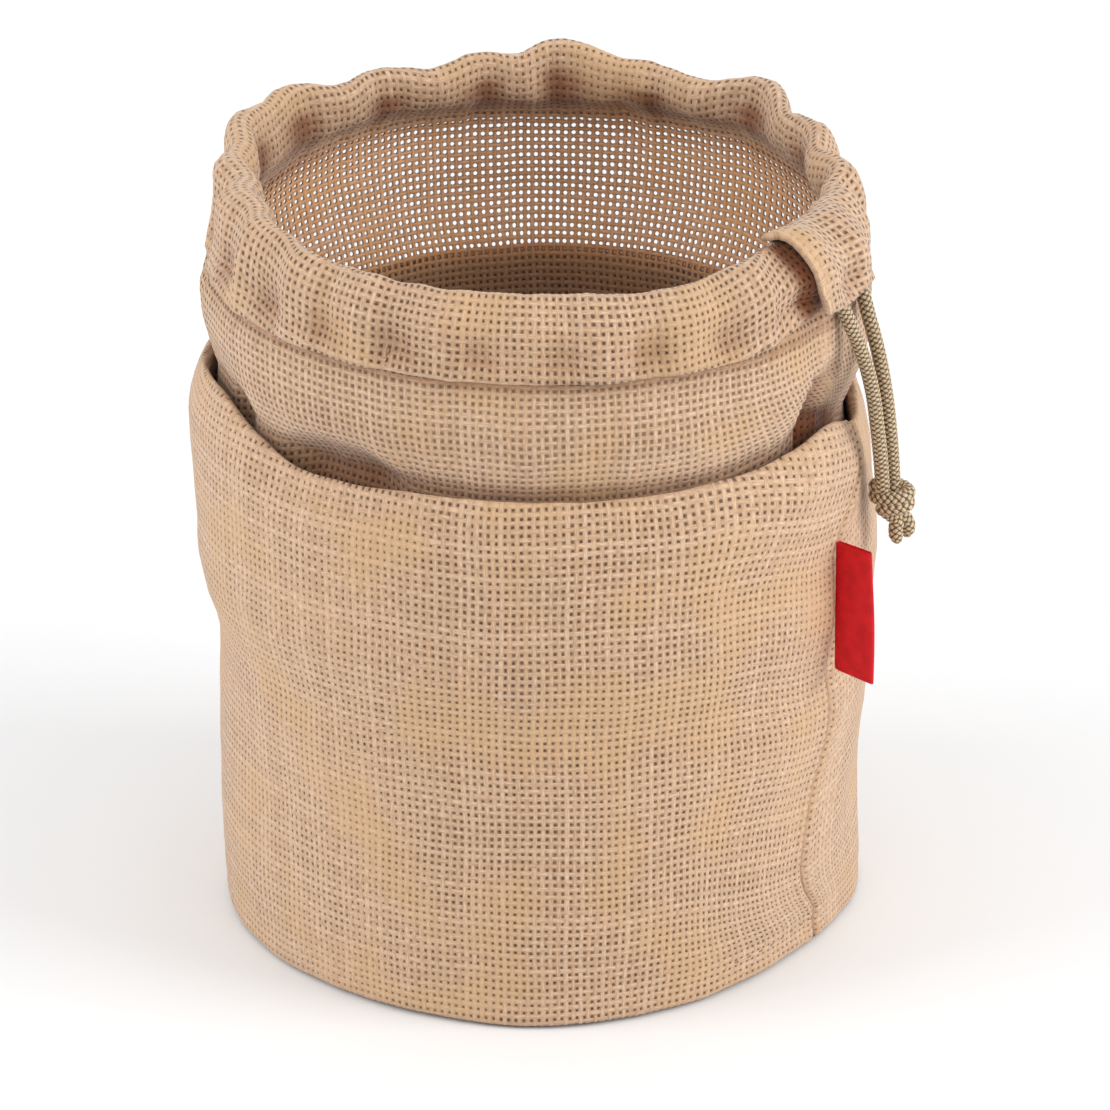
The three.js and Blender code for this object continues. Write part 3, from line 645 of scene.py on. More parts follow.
def dimpled(a, height, share, depth):
    top = outline("lip", a) - RIM_TURN
    rise = stitch_rise(a) * (top - height) / (top - CASING_EDGE)
    return pressed(casing_outside(a, height + rise, share), a, depth)


WALL_HEIGHTS = (2.4, 6, 12, 20, 30, 42, 54, 66, 75, CHEST_HEIGHT, 91, 98, BULGE_HEIGHT, 114, 122, HIGH_WALL)
# how far up the sack each row is, and its steps to the next row
SACK_LEVELS = ((0, 1), (0.07, 1), (0.14, 1), (0.21, 1), (0.28, 1), (0.36, 1), (0.45, 1), (0.55, 1),
               (0.67, 2), (0.82, 2), (1, 3))
# name, steps to the next row, how sheer, and the radius and height at an azimuth
ROWS = [
    ("allowance edge", 2, 0, lambda a: foot_row(a, SEAM_ALLOWANCE + 3, 0.0)),
    ("allowance", 2, 0, lambda a: foot_row(a, 4.6, 0.0)),
    ("corner inside", 2, 0, lambda a: foot_row(a, 2.2, -0.8)),
    ("corner", 2, 0, lambda a: foot_row(a, 0.9, -1.9)),
    *(("wall", 2, 0, lambda a, height=height: wall_row(a, height)) for height in WALL_HEIGHTS),
    ("shoulder", 3, 0, lambda a: (outline("top", a), outline("fold", a) - FOLD_SHOULDER)),
    ("fold outside", 3, 0, lambda a: fold_row(a, 0, -FOLD_BEND)),
    ("fold crest", 3, 0, lambda a: fold_row(a, 0.5, 0)),
    ("fold inside", 3, 0, lambda a: fold_row(a, 1, -FOLD_BEND)),
    ("pleat down", 3, 0, lambda a: (wall_radius(a, HIGH_WALL) - LAYER_STEP, HIGH_WALL)),
    ("pleat outside", 3, 0, lambda a: pleat_row(a, 1, FOLD_BEND)),
    ("pleat bottom", 3, 0, lambda a: pleat_row(a, 1.5, 0)),
    ("pleat inside", 3, 0, lambda a: pleat_row(a, 2, FOLD_BEND)),
    ("sack hidden", 4, 0, lambda a: (wall_radius(a, HIGH_WALL) - 2 * LAYER_STEP, HIGH_WALL)),
    *(("sack", steps, 1, lambda a, up=up: sack_row(a, up)) for up, steps in SACK_LEVELS),
    ("stitch line", 3, 0, lambda a: (outline("stitch", a), STITCH_HEIGHT + 0.5 + stitch_rise(a))),
    ("throat", 2, 0, lambda a: casing_inside(a, CORD_HEIGHT - 1 + 0.4 * stitch_rise(a))),
    ("collar", 2, 0, lambda a: rim_row(a, -1, -5.0, 1.15)),
    ("rim inside", 2, 0, lambda a: rim_row(a, -0.75, -1.3, 1.05)),
    ("rim crest", 2, 0, lambda a: rim_row(a, 0, 0, 1)),
    ("rim outside", 3, 0, lambda a: pressed(rim_row(a, RIM_OUTSIDE, -RIM_TURN, 1), a, 1.0)),
    ("casing high", 2, 0, lambda a: dimpled(a, CORD_HEIGHT + 2, 0.5, 1.6)),
    ("casing", 3, 0, lambda a: dimpled(a, CORD_HEIGHT - 4.5, 0.3, 2.7)),
    ("casing low", 2, 0, lambda a: dimpled(a, STITCH_HEIGHT + 3.2, 0.1, 1.7)),
    ("casing edge", 0, 0, lambda a: dimpled(a, CASING_EDGE, 0, 0.3)),
]
ROW_NAMES = [row[0] for row in ROWS]
FOLD_ROW = ROW_NAMES.index("fold inside")
SACK_ROW = ROW_NAMES.index("sack hidden")
STITCH_ROW = ROW_NAMES.index("stitch line")
OPEN_ROW = ROW_NAMES.index("rim inside")   # from here on the slit parts the cloth
EDGE_ROW = len(ROWS) - 1
print("the wall has", len(ROWS), "named rows and", sum(row[1] for row in ROWS), "steps")

# %% [markdown]
# ## The wall's grid
#
# Near the seam the columns bend sideways, to follow the seam as it wanders. Above the slit's start, the
# first column becomes the flap's edge and the last column the end that goes under it.


# %% One column of the wall
def column_azimuth(share, row, height):
    """Where a column stands in a row. share is 0 at the seam and goes once round to 1."""
    azimuth = SEAM_AZIMUTH + 360 * share
    if row >= OPEN_ROW:
        down = (row - OPEN_ROW) / (EDGE_ROW - OPEN_ROW)
        if share < 0.5:
            target = flap_edge(down ** FLAP_CUT)
        else:
            target = mix(FRONT_END_TOP, FRONT_END_LOW, down)
    elif row > SACK_ROW:
        target = mix(SEAM_LINE[-1][1], NECK_SEAM, ease((row - SACK_ROW) / (STITCH_ROW - SACK_ROW)))
    else:
        target = seam_azimuth(height)
    near = 1 - ease(abs(turn_to(azimuth, SEAM_AZIMUTH)) / SEAM_REACH)
    return azimuth + (target - SEAM_AZIMUTH) * near


def row_point(share, row):
    read = ROWS[row][3]
    guess = read(SEAM_AZIMUTH)[1]
    azimuth = column_azimuth(share, row, guess)
    radius, height = read(azimuth)
    if row >= OPEN_ROW:
        down = (row - OPEN_ROW) / (EDGE_ROW - OPEN_ROW)
        if share < 0.5:
            out, up = flap_shift(azimuth, down)
        else:
            out, up = front_shift(height, down, 360 * (1 - share))
        radius += out
        height += up
    return polar(azimuth, radius, height)


DENSE = 16  # degrees on each side of the seam where the columns stand close
COLUMN_STEPS = [(0, DENSE, 40), (DENSE, 360 - DENSE, 352), (360 - DENSE, 360, 44)]
shares = [mix(start, end, i / count) / 360 for start, end, count in COLUMN_STEPS for i in range(count)]
shares.append(1.0)
row_steps = [row[1] for row in ROWS[:-1]]
columns = [smooth_line([row_point(share, row) for row in range(len(ROWS))], row_steps) for share in shares]
print(len(columns), "columns of", len(columns[0]), "points")

# %% [markdown]
# ## Unevenness
#
# Three kinds of small unevenness are pressed into the grid, along the cloth's own normal: broad soft waves
# everywhere, upright puckers where the drawstring and the stitching draw the casing and the neck together,
# and a narrow groove where the side seam's two edges meet.

# %% Puckers, waves and the seam's groove
# named row, and how deep the upright puckers are there
PUCKER_DEPTH = {"sack": 0.35, "stitch line": 0.8, "throat": 0.7, "collar": 0.7, "rim inside": 0.4,
                "rim crest": 0.4, "rim outside": 0.6, "casing high": 0.7, "casing": 0.9, "casing low": 0.9,
                "casing edge": 0.6}
PUCKER_HEIGHT = 1.6
# how many go round, how tall they are, where the noise starts, and their share
PUCKERS = [(12, 70, 0, 1.0), (25, 40, 9, 0.5)]
# size of a wave in millimetres, where the noise starts, and its height
SOFT_WAVES = [(21, (0, 0, 0), 0.55), (8, (3, 5, 7), 0.25)]
MM_PER_DEGREE = 1.55   # round the outer wall
# the seam's groove, and the soft ridge of its allowance on each side, in millimetres
GROOVE = {"deep": 0.9, "half": 1.6, "ridge": 0.35, "beside": 3.4, "ridge_half": 2.4}
row_of_point = []
for index, count in enumerate(row_steps):
    row_of_point += [index + k / count for k in range(count)]
row_of_point.append(EDGE_ROW)


def pucker_depth(row):
    index = min(int(row), EDGE_ROW - 1)
    start = PUCKER_DEPTH.get(ROW_NAMES[index], 0)
    end = PUCKER_DEPTH.get(ROW_NAMES[index + 1], 0)
    return mix(start, end, row - index)


def from_side_seam(share):
    """Distance round the outer wall, in millimetres."""
    return abs(turn_to(360 * share, 0)) * MM_PER_DEGREE


def unevenness(place, azimuth, row, share):
    """How far the cloth is pushed along its normal, in millimetres."""
    wave = sum(high * noise.noise(place / size + Vector(start)) for size, start, high in SOFT_WAVES)
    turn = math.radians(azimuth)
    round_place = Vector((math.cos(turn), math.sin(turn), 0))
    pucker = sum(part * noise.noise(round_place * around + Vector((start, 0, place.z / tall)))
                 for around, tall, start, part in PUCKERS)
    groove = 0
    if row < FOLD_ROW:
        away = from_side_seam(share)
        groove = GROOVE["ridge"] * hill(away, GROOVE["beside"], GROOVE["ridge_half"])
        groove -= GROOVE["deep"] * bump(away / GROOVE["half"])
    return wave + PUCKER_HEIGHT * pucker_depth(row) * pucker + groove


def cloth_normal(grid, c, r):
    """The direction square to the cloth at a point of the grid. The grid closes where its ends meet."""
    last = len(grid) - 1
    closed = (grid[0][r] - grid[last][r]).length < 1e-6
    ahead = grid[c + 1][r] if c < last else grid[1 if closed else last][r]
    behind = grid[c - 1][r] if c > 0 else grid[last - 1 if closed else 0][r]
    above = grid[c][min(r + 1, len(grid[c]) - 1)]
    below = grid[c][max(r - 1, 0)]
    return (ahead - behind).cross(above - below).normalized()


def azimuth_of(place):
    return math.degrees(math.atan2(place.x, -place.y))


uneven = []
for c, share in enumerate(shares):
    line = []
    for r, place in enumerate(columns[c]):
        push = unevenness(place, azimuth_of(place), row_of_point[r], share)
        line.append(place + cloth_normal(columns, c, r) * push)
    uneven.append(line)
print("the seam's groove and the puckers are in")

# %% [markdown]
# ## The wall as a mesh
#
# The grid becomes one sheet of faces. Its UV map is the flat cloth itself, in metres: across is the
# place along the strip, and up is the length along the cloth. A weave drawn in it follows every fold.
# The outer wall is measured from the base and the sack from its stitch line, so that the yarns run level in
# both, and what is left over is taken up in the hidden pleat.
#
# Four attributes are painted on the points for the finish: how sheer the cloth is, how much painted shade
# it gets where it is tucked away from the light, how close its yarns lie, and later which side of it faces
# into the sack, where painted light lightens it. A solidify modifier then gives the sheet its thickness. The
# single layer of the sack is thinner.

# %% Building the wall
CLOTH_AROUND = 0.566   # width of the cut cloth in metres: once round the bag
HEM_THICK = 0.0023
WALL_SHARE = 0.48      # of the hem's thickness
SHEER_SHARE = 0.2      # the same, for the sack


def sheet_from_grid(name, grid, closed_below):
    """A mesh of a grid of columns. Rows before closed_below meet round the back of the grid."""
    height = len(grid[0])
    last = len(grid) - 1
    points = [place * MM for line in grid for place in line]
    faces = []
    for c in range(last):
        for r in range(height - 1):
            corners = [(c, r), (c + 1, r), (c + 1, r + 1), (c, r + 1)]
            closed = [(0 if i == last and k < closed_below else i, k) for i, k in corners]
            faces.append(tuple(i * height + k for i, k in closed))
    return link_mesh(name, points, faces)


def walked(line):
    """Length of the line up to each of its points, in metres."""
    lengths = [0.0]
    for a, b in zip(line, line[1:]):
        lengths.append(lengths[-1] + (b - a).length * MM)
    return lengths


open_point = sum(row_steps[:OPEN_ROW])
wall = sheet_from_grid("jute_wall", uneven, open_point)
lengths = [walked(line) for line in columns]
stitch_point = sum(row_steps[:STITCH_ROW])
stitch_up = sum(line[stitch_point] for line in lengths) / len(lengths)


def cloth_height(c, r):
    """Place along the cut cloth of a point of the grid."""
    low = lengths[c][r]
    high = stitch_up + low - lengths[c][stitch_point]
    return mix(low, high, ease((row_of_point[r] - FOLD_ROW) / (SACK_ROW - FOLD_ROW)))


# %% The flat map and the painted attributes
flat_map = wall.data.uv_layers.new(name="cloth")
height_count = len(columns[0])
last_column = len(columns) - 1
for face in wall.data.polygons:
    across = [wall.data.loops[i].vertex_index // height_count for i in face.loop_indices]
    wraps = max(across) - min(across) > 1
    for i, c in zip(face.loop_indices, across):
        r = wall.data.loops[i].vertex_index % height_count
        c = last_column if wraps and c == 0 else c
        flat_map.data[i].uv = (CLOTH_AROUND * shares[c], cloth_height(c, r))

FRONT_SHEER = 0.2      # the front of the sack is closer, and hides what is in it
SHEER_FROM = 70        # degrees from the front where the sack starts to open
SHEER_OVER = 25        # and how many it takes
HEM = 1.7              # width of the flap's rolled hem, in degrees
HEM_FADE = 0.8
SIDE = 75              # degrees from the front to the start of the mouth's back half
LAST_END = 0.95        # the front's end starts at this share of the way round
# painted shade in each shaded place: 1 is the darkest, and a minus takes some of it away
PAINTED_SHADE_STRENGTH = {"seam": 0.6, "fold": 0.4, "left_fold": -0.28, "slit_fold": 0.75, "dents_left": 0.06,
        "dents_right": 0.1, "crease": 0.35, "below_casing": 0.5, "hollows": 0.9, "front_hollows": 0.3,
        "behind_cord": 0.8, "dimples": 0.4, "below_flap": 1.2}
# azimuth and half width of the shades that don't go all round
SHADE_AT = {"left_fold": (-62, 16), "slit_fold": (66, 15), "behind_cord": (66, 9)}
# middle and half height in named rows, from the rim's inner side and from the casing's edge
SHADE_ROWS = {"hollows": (-1.7, 1.9), "dimples": (-1.6, 2)}
# how tall or wide in millimetres
SHADE_SIZE = {"seam": 1.3, "fold": 6, "slit_fold": 7, "below_casing": 3, "behind_cord": 7}
CASING_SHADE_DROP = 1.5   # millimetres below the casing's edge
CORD_SHADE_RISE = 2       # and above it
DENTS_TURN = 40           # degrees from the front over which the dents' shade grows
FLAP_SHADE = 5            # degrees in front of the flap's edge where its shade starts
# the yarns lie closer right of the seam, on both flanks and in the hems. Degrees, and how close
CLOSE = {"beside": (7, 16), "front": 8, "front_half": 14, "front_fade": 34, "back": 80, "back_fade": 50,
         "flank": 0.5, "shut": 1.3, "seam_half": 3.6, "casing": 0.35}


# painted shade on the sack: just above the fold, in its dents, pockets and crease, and below the casing's
# edge
def sack_painted_shade(azimuth, height):
    above = height - outline("fold", azimuth)
    left = PAINTED_SHADE_STRENGTH["left_fold"] * hill(azimuth, *SHADE_AT["left_fold"])
    slit = PAINTED_SHADE_STRENGTH["slit_fold"] * hill(azimuth, *SHADE_AT["slit_fold"])
    dent_share = mix(PAINTED_SHADE_STRENGTH["dents_left"], PAINTED_SHADE_STRENGTH["dents_right"], ease(azimuth / DENTS_TURN))
    below_edge = height - CASING_EDGE + CASING_SHADE_DROP - stitch_rise(azimuth)
    painted_shade = (PAINTED_SHADE_STRENGTH["fold"] + left) * (1 - ease(above / SHADE_SIZE["fold"]))
    painted_shade += dent_share * pressed_in(azimuth, height) * (abs(azimuth) < 90)
    painted_shade += slit * (1 - ease(above / SHADE_SIZE["slit_fold"]))
    painted_shade += PAINTED_SHADE_STRENGTH["crease"] * crease(azimuth, height) / CREASE["depth"]
    return painted_shade + PAINTED_SHADE_STRENGTH["below_casing"] * bump(below_edge / SHADE_SIZE["below_casing"])


# painted shade inside the casing: under the rim's gathers, and behind the cord
def inner_casing_painted_shade(azimuth, height, row):
    hollow = max(0, 1 - dimple(azimuth)) * hill(row - OPEN_ROW, *SHADE_ROWS["hollows"])
    painted_shade = PAINTED_SHADE_STRENGTH["hollows"] * hollow if abs(azimuth) > SIDE else PAINTED_SHADE_STRENGTH["front_hollows"]
    behind = hill(height - CASING_EDGE, CORD_SHADE_RISE, SHADE_SIZE["behind_cord"])
    return painted_shade + PAINTED_SHADE_STRENGTH["behind_cord"] * hill(azimuth, *SHADE_AT["behind_cord"]) * behind


# painted shade in the casing's dimples, and a painted shadow under the flap
def casing_painted_shade(azimuth, row, share):
    down = (row - OPEN_ROW) / (EDGE_ROW - OPEN_ROW)
    painted_shade = PAINTED_SHADE_STRENGTH["dimples"] * dimple(azimuth) * hill(row - EDGE_ROW, *SHADE_ROWS["dimples"])
    under_flap = ease((azimuth - flap_edge(down) + FLAP_SHADE) / FLAP_SHADE) * (share > LAST_END)
    return painted_shade + PAINTED_SHADE_STRENGTH["below_flap"] * under_flap


def painted_shade_of(place, row, share):
    """How much painted shade a point of the wall gets, from 0 to 1, where the cloth is tucked away from the
    light.
    """
    azimuth = azimuth_of(place)
    if row < FOLD_ROW:
        # painted shade in the side seam's groove
        painted_shade = PAINTED_SHADE_STRENGTH["seam"] * bump(from_side_seam(share) / SHADE_SIZE["seam"])
    elif row < SACK_ROW:
        # the hidden pleat is all in painted shade
        painted_shade = 1
    elif row < STITCH_ROW:
        painted_shade = sack_painted_shade(azimuth, place.z)
    elif row < OPEN_ROW - 1:
        painted_shade = inner_casing_painted_shade(azimuth, place.z, row)
    else:
        painted_shade = casing_painted_shade(azimuth, row, share)
    return min(1, max(0, painted_shade))


def closeness(azimuth, row, share):
    """How close the yarns lie: 0 for the open cloth of the front, and 1 and more where no hole is left."""
    round_to = 360 * share
    if row < FOLD_ROW:
        front = ease((abs(azimuth - CLOSE["front"]) - CLOSE["front_half"]) / CLOSE["front_fade"])
        back = ease((abs(azimuth) - CLOSE["back"]) / CLOSE["back_fade"])
        return max(hill(round_to, *CLOSE["beside"]), CLOSE["flank"] * front * (1 - back))
    if row < STITCH_ROW:
        from_seam = 360 * min(share, 1 - share)
        return CLOSE["shut"] * bump(from_seam / CLOSE["seam_half"]) if row > SACK_ROW else 0
    if row > OPEN_ROW and share < 0.5:
        return CLOSE["shut"] * (1 - ease((round_to - HEM) / HEM_FADE))
    return CLOSE["casing"] if abs(azimuth) > SIDE else 0


def thickness_of(row, sheer_here, share):
    """As a share of the hem's thickness."""
    hem = bump(360 * share / HEM) if row > OPEN_ROW and share < 0.5 else 0
    return mix(mix(WALL_SHARE, SHEER_SHARE, sheer_here), 1, hem)


sheer = wall.data.attributes.new("sheer", "FLOAT", "POINT")
thick = wall.vertex_groups.new(name="thickness")
# painted shade, from 0 to 1, for the finish to darken the colour with
painted_shade = wall.data.attributes.new("painted_shade", "FLOAT", "POINT")
close = wall.data.attributes.new("close", "FLOAT", "POINT")
row_sheer = [ROWS[int(row)][2] for row in row_of_point]
for vertex, point in enumerate(wall.data.vertices):
    c, r = divmod(vertex, height_count)
    place = point.co / MM
    azimuth = azimuth_of(place)
    back = ease((abs(azimuth) - SHEER_FROM) / SHEER_OVER)
    sheer.data[vertex].value = row_sheer[r] * mix(FRONT_SHEER, 1, back)
    painted_shade.data[vertex].value = painted_shade_of(place, row_of_point[r], shares[c])
    close.data[vertex].value = closeness(azimuth, row_of_point[r], shares[c])
# weights are added apart, because they move the attributes' data
for vertex in range(len(wall.data.vertices)):
    c, r = divmod(vertex, height_count)
    thick.add([vertex], thickness_of(row_of_point[r], row_sheer[r], shares[c]), "REPLACE")


# %% Thickness for the wall
def select_only(piece):
    bpy.ops.object.select_all(action="DESELECT")
    piece.select_set(True)
    bpy.context.view_layer.objects.active = piece


def apply_modifier(piece, name):
    select_only(piece)
    bpy.ops.object.modifier_apply(modifier=name)


def thicken(piece, thickness, group=None):
    solid = piece.modifiers.new("thickness", "SOLIDIFY")
    solid.thickness = thickness
    solid.offset = 0
    if group:
        solid.vertex_group = group
        solid.thickness_vertex_group = 0
    apply_modifier(piece, "thickness")


def drop_loose_points(piece):
    select_only(piece)
    bpy.ops.object.mode_set(mode="EDIT")
    bpy.ops.mesh.select_all(action="SELECT")
    bpy.ops.mesh.delete_loose()
    bpy.ops.object.mode_set(mode="OBJECT")


drop_loose_points(wall)
thicken(wall, HEM_THICK, "thickness")
# where the sheer sack faces into the bag, for painted light
inside = wall.data.attributes.new("inside", "FLOAT", "POINT")
sack_sheer = wall.data.attributes["sheer"].data
INWARD = -0.2          # a normal that points out by less than this faces into the bag
for vertex in wall.data.vertices:
    outward = Vector((vertex.co.x, vertex.co.y, 0)).normalized()
    faces_in = vertex.normal.dot(outward) < INWARD
    inside.data[vertex.index].value = sack_sheer[vertex.index].value * faces_in
print("the wall has", sum(len(f.vertices) - 2 for f in wall.data.polygons), "triangles")

# %% [markdown]
# ## The base
#
# A round of the same jute closes the bag below. It is flat on the floor, so a disc of rings and spokes,
# given its thickness, is all it needs.

# %% The base disc
BASE_SPOKES = 144
BASE_RINGS = 26
BASE_SHEET = 0.0014    # metres, its thickness
BASE_INSET = 3.1       # from the middle of the wall's cloth to the round's edge
BASE_WAVES = {"high": 0.12, "size": 9}
MAP_SHIFT = 0.2        # keeps the flat map's numbers above 0


def base_grid():
    points = [Vector((0, 0, BASE_THICK / 2))]
    for ring in range(1, BASE_RINGS + 1):
        for spoke in range(BASE_SPOKES):
            azimuth = 360 * spoke / BASE_SPOKES
            radius = (outline("foot", azimuth) - BASE_INSET) * ring / BASE_RINGS
            place = polar(azimuth, radius, BASE_THICK / 2)
            place.z += BASE_WAVES["high"] * noise.noise(place / BASE_WAVES["size"])
            points.append(place)
    faces = []
    for spoke in range(BASE_SPOKES):
        after = (spoke + 1) % BASE_SPOKES
        faces.append((0, 1 + spoke, 1 + after))
        for ring in range(BASE_RINGS - 1):
            inner = 1 + ring * BASE_SPOKES
            outer = inner + BASE_SPOKES
            faces.append((inner + spoke, outer + spoke, outer + after, inner + after))
    return points, faces


base_points, base_faces = base_grid()
base = link_mesh("jute_base_disc", [place * MM for place in base_points], base_faces)
base_map = base.data.uv_layers.new(name="cloth")
for loop in base.data.loops:
    place = base.data.vertices[loop.vertex_index].co
    base_map.data[loop.index].uv = (place.x + MAP_SHIFT, place.y + MAP_SHIFT)
thicken(base, BASE_SHEET)

# %% [markdown]
# ## The label
#
# A short red ribbon is folded in half and sewn into the side seam. It stands out as a small flag, bare on
# both sides. It is drawn as a narrow U in plan, seam to fold and back, and bowed a little from end to end.

# %% The ribbon
LABEL = {"azimuth": 58.5, "top": 126, "bottom": 88.5, "wide": 12.2, "turn": -9, "gap": 0.45}
LABEL_STEPS_UP = 24
RIBBON_THICK = 0.00045
ROOT_DEPTH = 0.4       # how far the ribbon's ends are set into the wall
# how far the ribbon bows sideways, waves, flares out at its lower corner and hangs down there
RIBBON_BEND = {"bow": 0.7, "wave": 0.35, "waves": 5, "flare": 0.9, "droop": 0.9}


def ribbon_grid():
    widest = max(wall_radius(LABEL["azimuth"], mix(LABEL["bottom"], LABEL["top"], k / 8)) for k in range(9))
    root = polar(LABEL["azimuth"], widest + CLOTH / 2 - ROOT_DEPTH, 0)
    heading = math.radians(LABEL["azimuth"] - 90 + LABEL["turn"])
    out = Vector((math.cos(heading), math.sin(heading), 0))
    side = Vector((-out.y, out.x, 0))
    wide = LABEL["wide"]
    # distance from the seam, and to which side
    plan = [(0, -0.5), (1.5, -0.95), (4, -1), (8, -1), (wide - 0.9, -0.95), (wide - 0.25, -0.7), (wide, 0),
            (wide - 0.25, 0.7), (wide - 0.9, 0.95), (8, 1), (4, 1), (1.5, 0.95), (0, 0.5)]
    grid = []
    for along, apart in plan:
        line = []
        for k in range(LABEL_STEPS_UP + 1):
            t = k / LABEL_STEPS_UP
            free = along / wide
            bow = RIBBON_BEND["bow"] * math.sin(math.pi * t) * free ** 2
            bow += RIBBON_BEND["wave"] * math.sin(RIBBON_BEND["waves"] * t) * free
            flare = RIBBON_BEND["flare"] * (1 - t) ** 3 * free
            height = mix(LABEL["bottom"], LABEL["top"], t) - RIBBON_BEND["droop"] * (1 - t) * free
            line.append(root + out * (along + flare) + side * (apart * LABEL["gap"] + bow)
                        + Vector((0, 0, height)))
        grid.append(line)
    return grid


ribbon = ribbon_grid()
label = sheet_from_grid("red_label", ribbon, 0)
label_map = label.data.uv_layers.new(name="cloth")
ribbon_across = walked([line[0] for line in ribbon])
ribbon_up = walked(ribbon[0])
for loop in label.data.loops:
    c, r = divmod(loop.vertex_index, LABEL_STEPS_UP + 1)
    label_map.data[loop.index].uv = (ribbon_across[c], ribbon_up[r])
thicken(label, RIBBON_THICK)
smooth = label.modifiers.new("rounder", "SUBSURF")
smooth.levels = 1
smooth.render_levels = 1
apply_modifier(label, "rounder")

# %% [markdown]
# ## Stitches
#
# One stitch is a short thread that goes down at both ends. It is modelled once and then set along the seam
# lines, each copy turned to the cloth: the casing's line of golden thread, the side seam, and a few at the
# base beside the side seam.

# %% One stitch
STITCH_CUT = 0.2       # the straight middle ends here, as a share of the length on each side
STITCH_END = {"from": 0.4, "dip": 0.55, "thin": 0.7}
bpy.ops.object.select_all(action="DESELECT")
bpy.ops.mesh.primitive_cylinder_add(vertices=6, radius=0.5, depth=1, rotation=(0, math.pi / 2, 0))
stitch = bpy.context.object
stitch.name = "one_stitch"
bpy.ops.object.transform_apply(location=False, rotation=True, scale=False)
bpy.ops.object.mode_set(mode="EDIT")
bpy.ops.mesh.select_all(action="SELECT")
bpy.ops.mesh.bisect(plane_co=(-STITCH_CUT, 0, 0), plane_no=(1, 0, 0))
bpy.ops.mesh.select_all(action="SELECT")
bpy.ops.mesh.bisect(plane_co=(STITCH_CUT, 0, 0), plane_no=(1, 0, 0))
bpy.ops.object.mode_set(mode="OBJECT")
STITCH_POINTS = [vertex.co.copy() for vertex in stitch.data.vertices]
STITCH_FACES = [tuple(face.vertices) for face in stitch.data.polygons]
bpy.data.objects.remove(stitch)


def sewn(name, line, normals, length, gap, width):
    """Copies of the stitch along a line of points, with the cloth's normal at each."""
    total = sum((b - a).length for a, b in zip(line, line[1:]))
    count = int(total / (length + gap))
    points, faces = [], []
    walked_to, index = 0.0, 0
    for k in range(count):
        middle = (k + 0.5) * total / count
        while index < len(line) - 2 and walked_to + (line[index + 1] - line[index]).length < middle:
            walked_to += (line[index + 1] - line[index]).length
            index += 1
        start, end = line[index], line[index + 1]
        place = start.lerp(end, (middle - walked_to) / max((end - start).length, 1e-9))
        normal = normals[index]
        along = (end - start).normalized()
        across = normal.cross(along).normalized()
        first = len(points)
        for x, y, z in STITCH_POINTS:
            at_end = abs(x) > STITCH_END["from"]
            dip = STITCH_END["dip"] if at_end else 0.0
            thin = STITCH_END["thin"] if at_end else 1.0
            points.append(place + along * x * length + across * y * width * thin
                          + normal * (z * width * thin - dip * width))
        faces += [tuple(first + i for i in face) for face in STITCH_FACES]
    piece = link_mesh(name, points, faces)
    print(name, "has", count, "stitches")
    return piece


# %% The three seams' stitches
def row_line(row_name, back_by, lift):
    """Points and normals along the row that lies back_by points before a named one, lifted off the cloth."""
    r = min(sum(row_steps[:ROW_NAMES.index(row_name)]) - back_by, height_count - 1)
    line, normals = [], []
    for c in range(len(uneven)):
        normal = cloth_normal(uneven, c, r)
        line.append((uneven[c][r] + normal * lift) * MM)
        normals.append(normal)
    return line, normals


def part_of(line, normals, start, end):
    """The points of a row between two places, in degrees round from the side seam."""
    keep = [i for i, share in enumerate(shares) if start < 360 * share < end]
    return [line[i] for i in keep], [normals[i] for i in keep]


# degrees round from the side seam where the stitches start and end, and how far they stand off the cloth
CASING_SPAN = (22, 356)
BASE_SPAN = (335, 361)
CASING_LIFT = 0.75
BASE_LIFT = 0.45
# length, gap and width of a stitch
CASING_STITCH = (0.0030, 0.0007, 0.0007)
SIDE_STITCH = (0.0024, 0.0016, 0.0006)
BASE_STITCH = (0.0026, 0.0022, 0.0006)
SIDE_LIFT = 0.35       # how far the side seam's thread stands off the middle of the cloth
SIDE_START = 5         # named rows below the first stitch
casing_row = part_of(*row_line("casing edge", 1, CASING_LIFT), *CASING_SPAN)
casing_stitches = sewn("casing_topstitch", *casing_row, *CASING_STITCH)
seam_rows = range(sum(row_steps[:SIDE_START]), sum(row_steps[:ROW_NAMES.index("shoulder") + 1]))
seam_normals = [cloth_normal(uneven, 0, r) for r in seam_rows]
seam_line = [(uneven[0][r] + normal * SIDE_LIFT) * MM for r, normal in zip(seam_rows, seam_normals)]
seam_stitches = sewn("side_seam_stitches", seam_line, seam_normals, *SIDE_STITCH)
base_row = part_of(*row_line("wall", -3, BASE_LIFT), *BASE_SPAN)
base_stitches = sewn("base_seam_stitches", *base_row, *BASE_STITCH)

# %% [markdown]
# ## The drawstring inside its casing
#
# The rest of the cord lies hidden in the casing's channel, from one free end round the back, left and
# front to the other. It is the same braid with fewer faces.


# %% The hidden run of the cord
def channel_point(azimuth):
    inner = casing_inside(azimuth, CORD_HEIGHT)[0]
    height = CORD_HEIGHT + 0.3 * stitch_rise(azimuth)
    return polar(azimuth, inner + CORD_IN_CHANNEL, height) * MM


# degrees between a free end and the first point of the ring, and how many points the ring has
RUN = {"lead": 6, "points": 53}
RUN_ENDS = (0.0003, 0.004)  # metres back from a free end's start


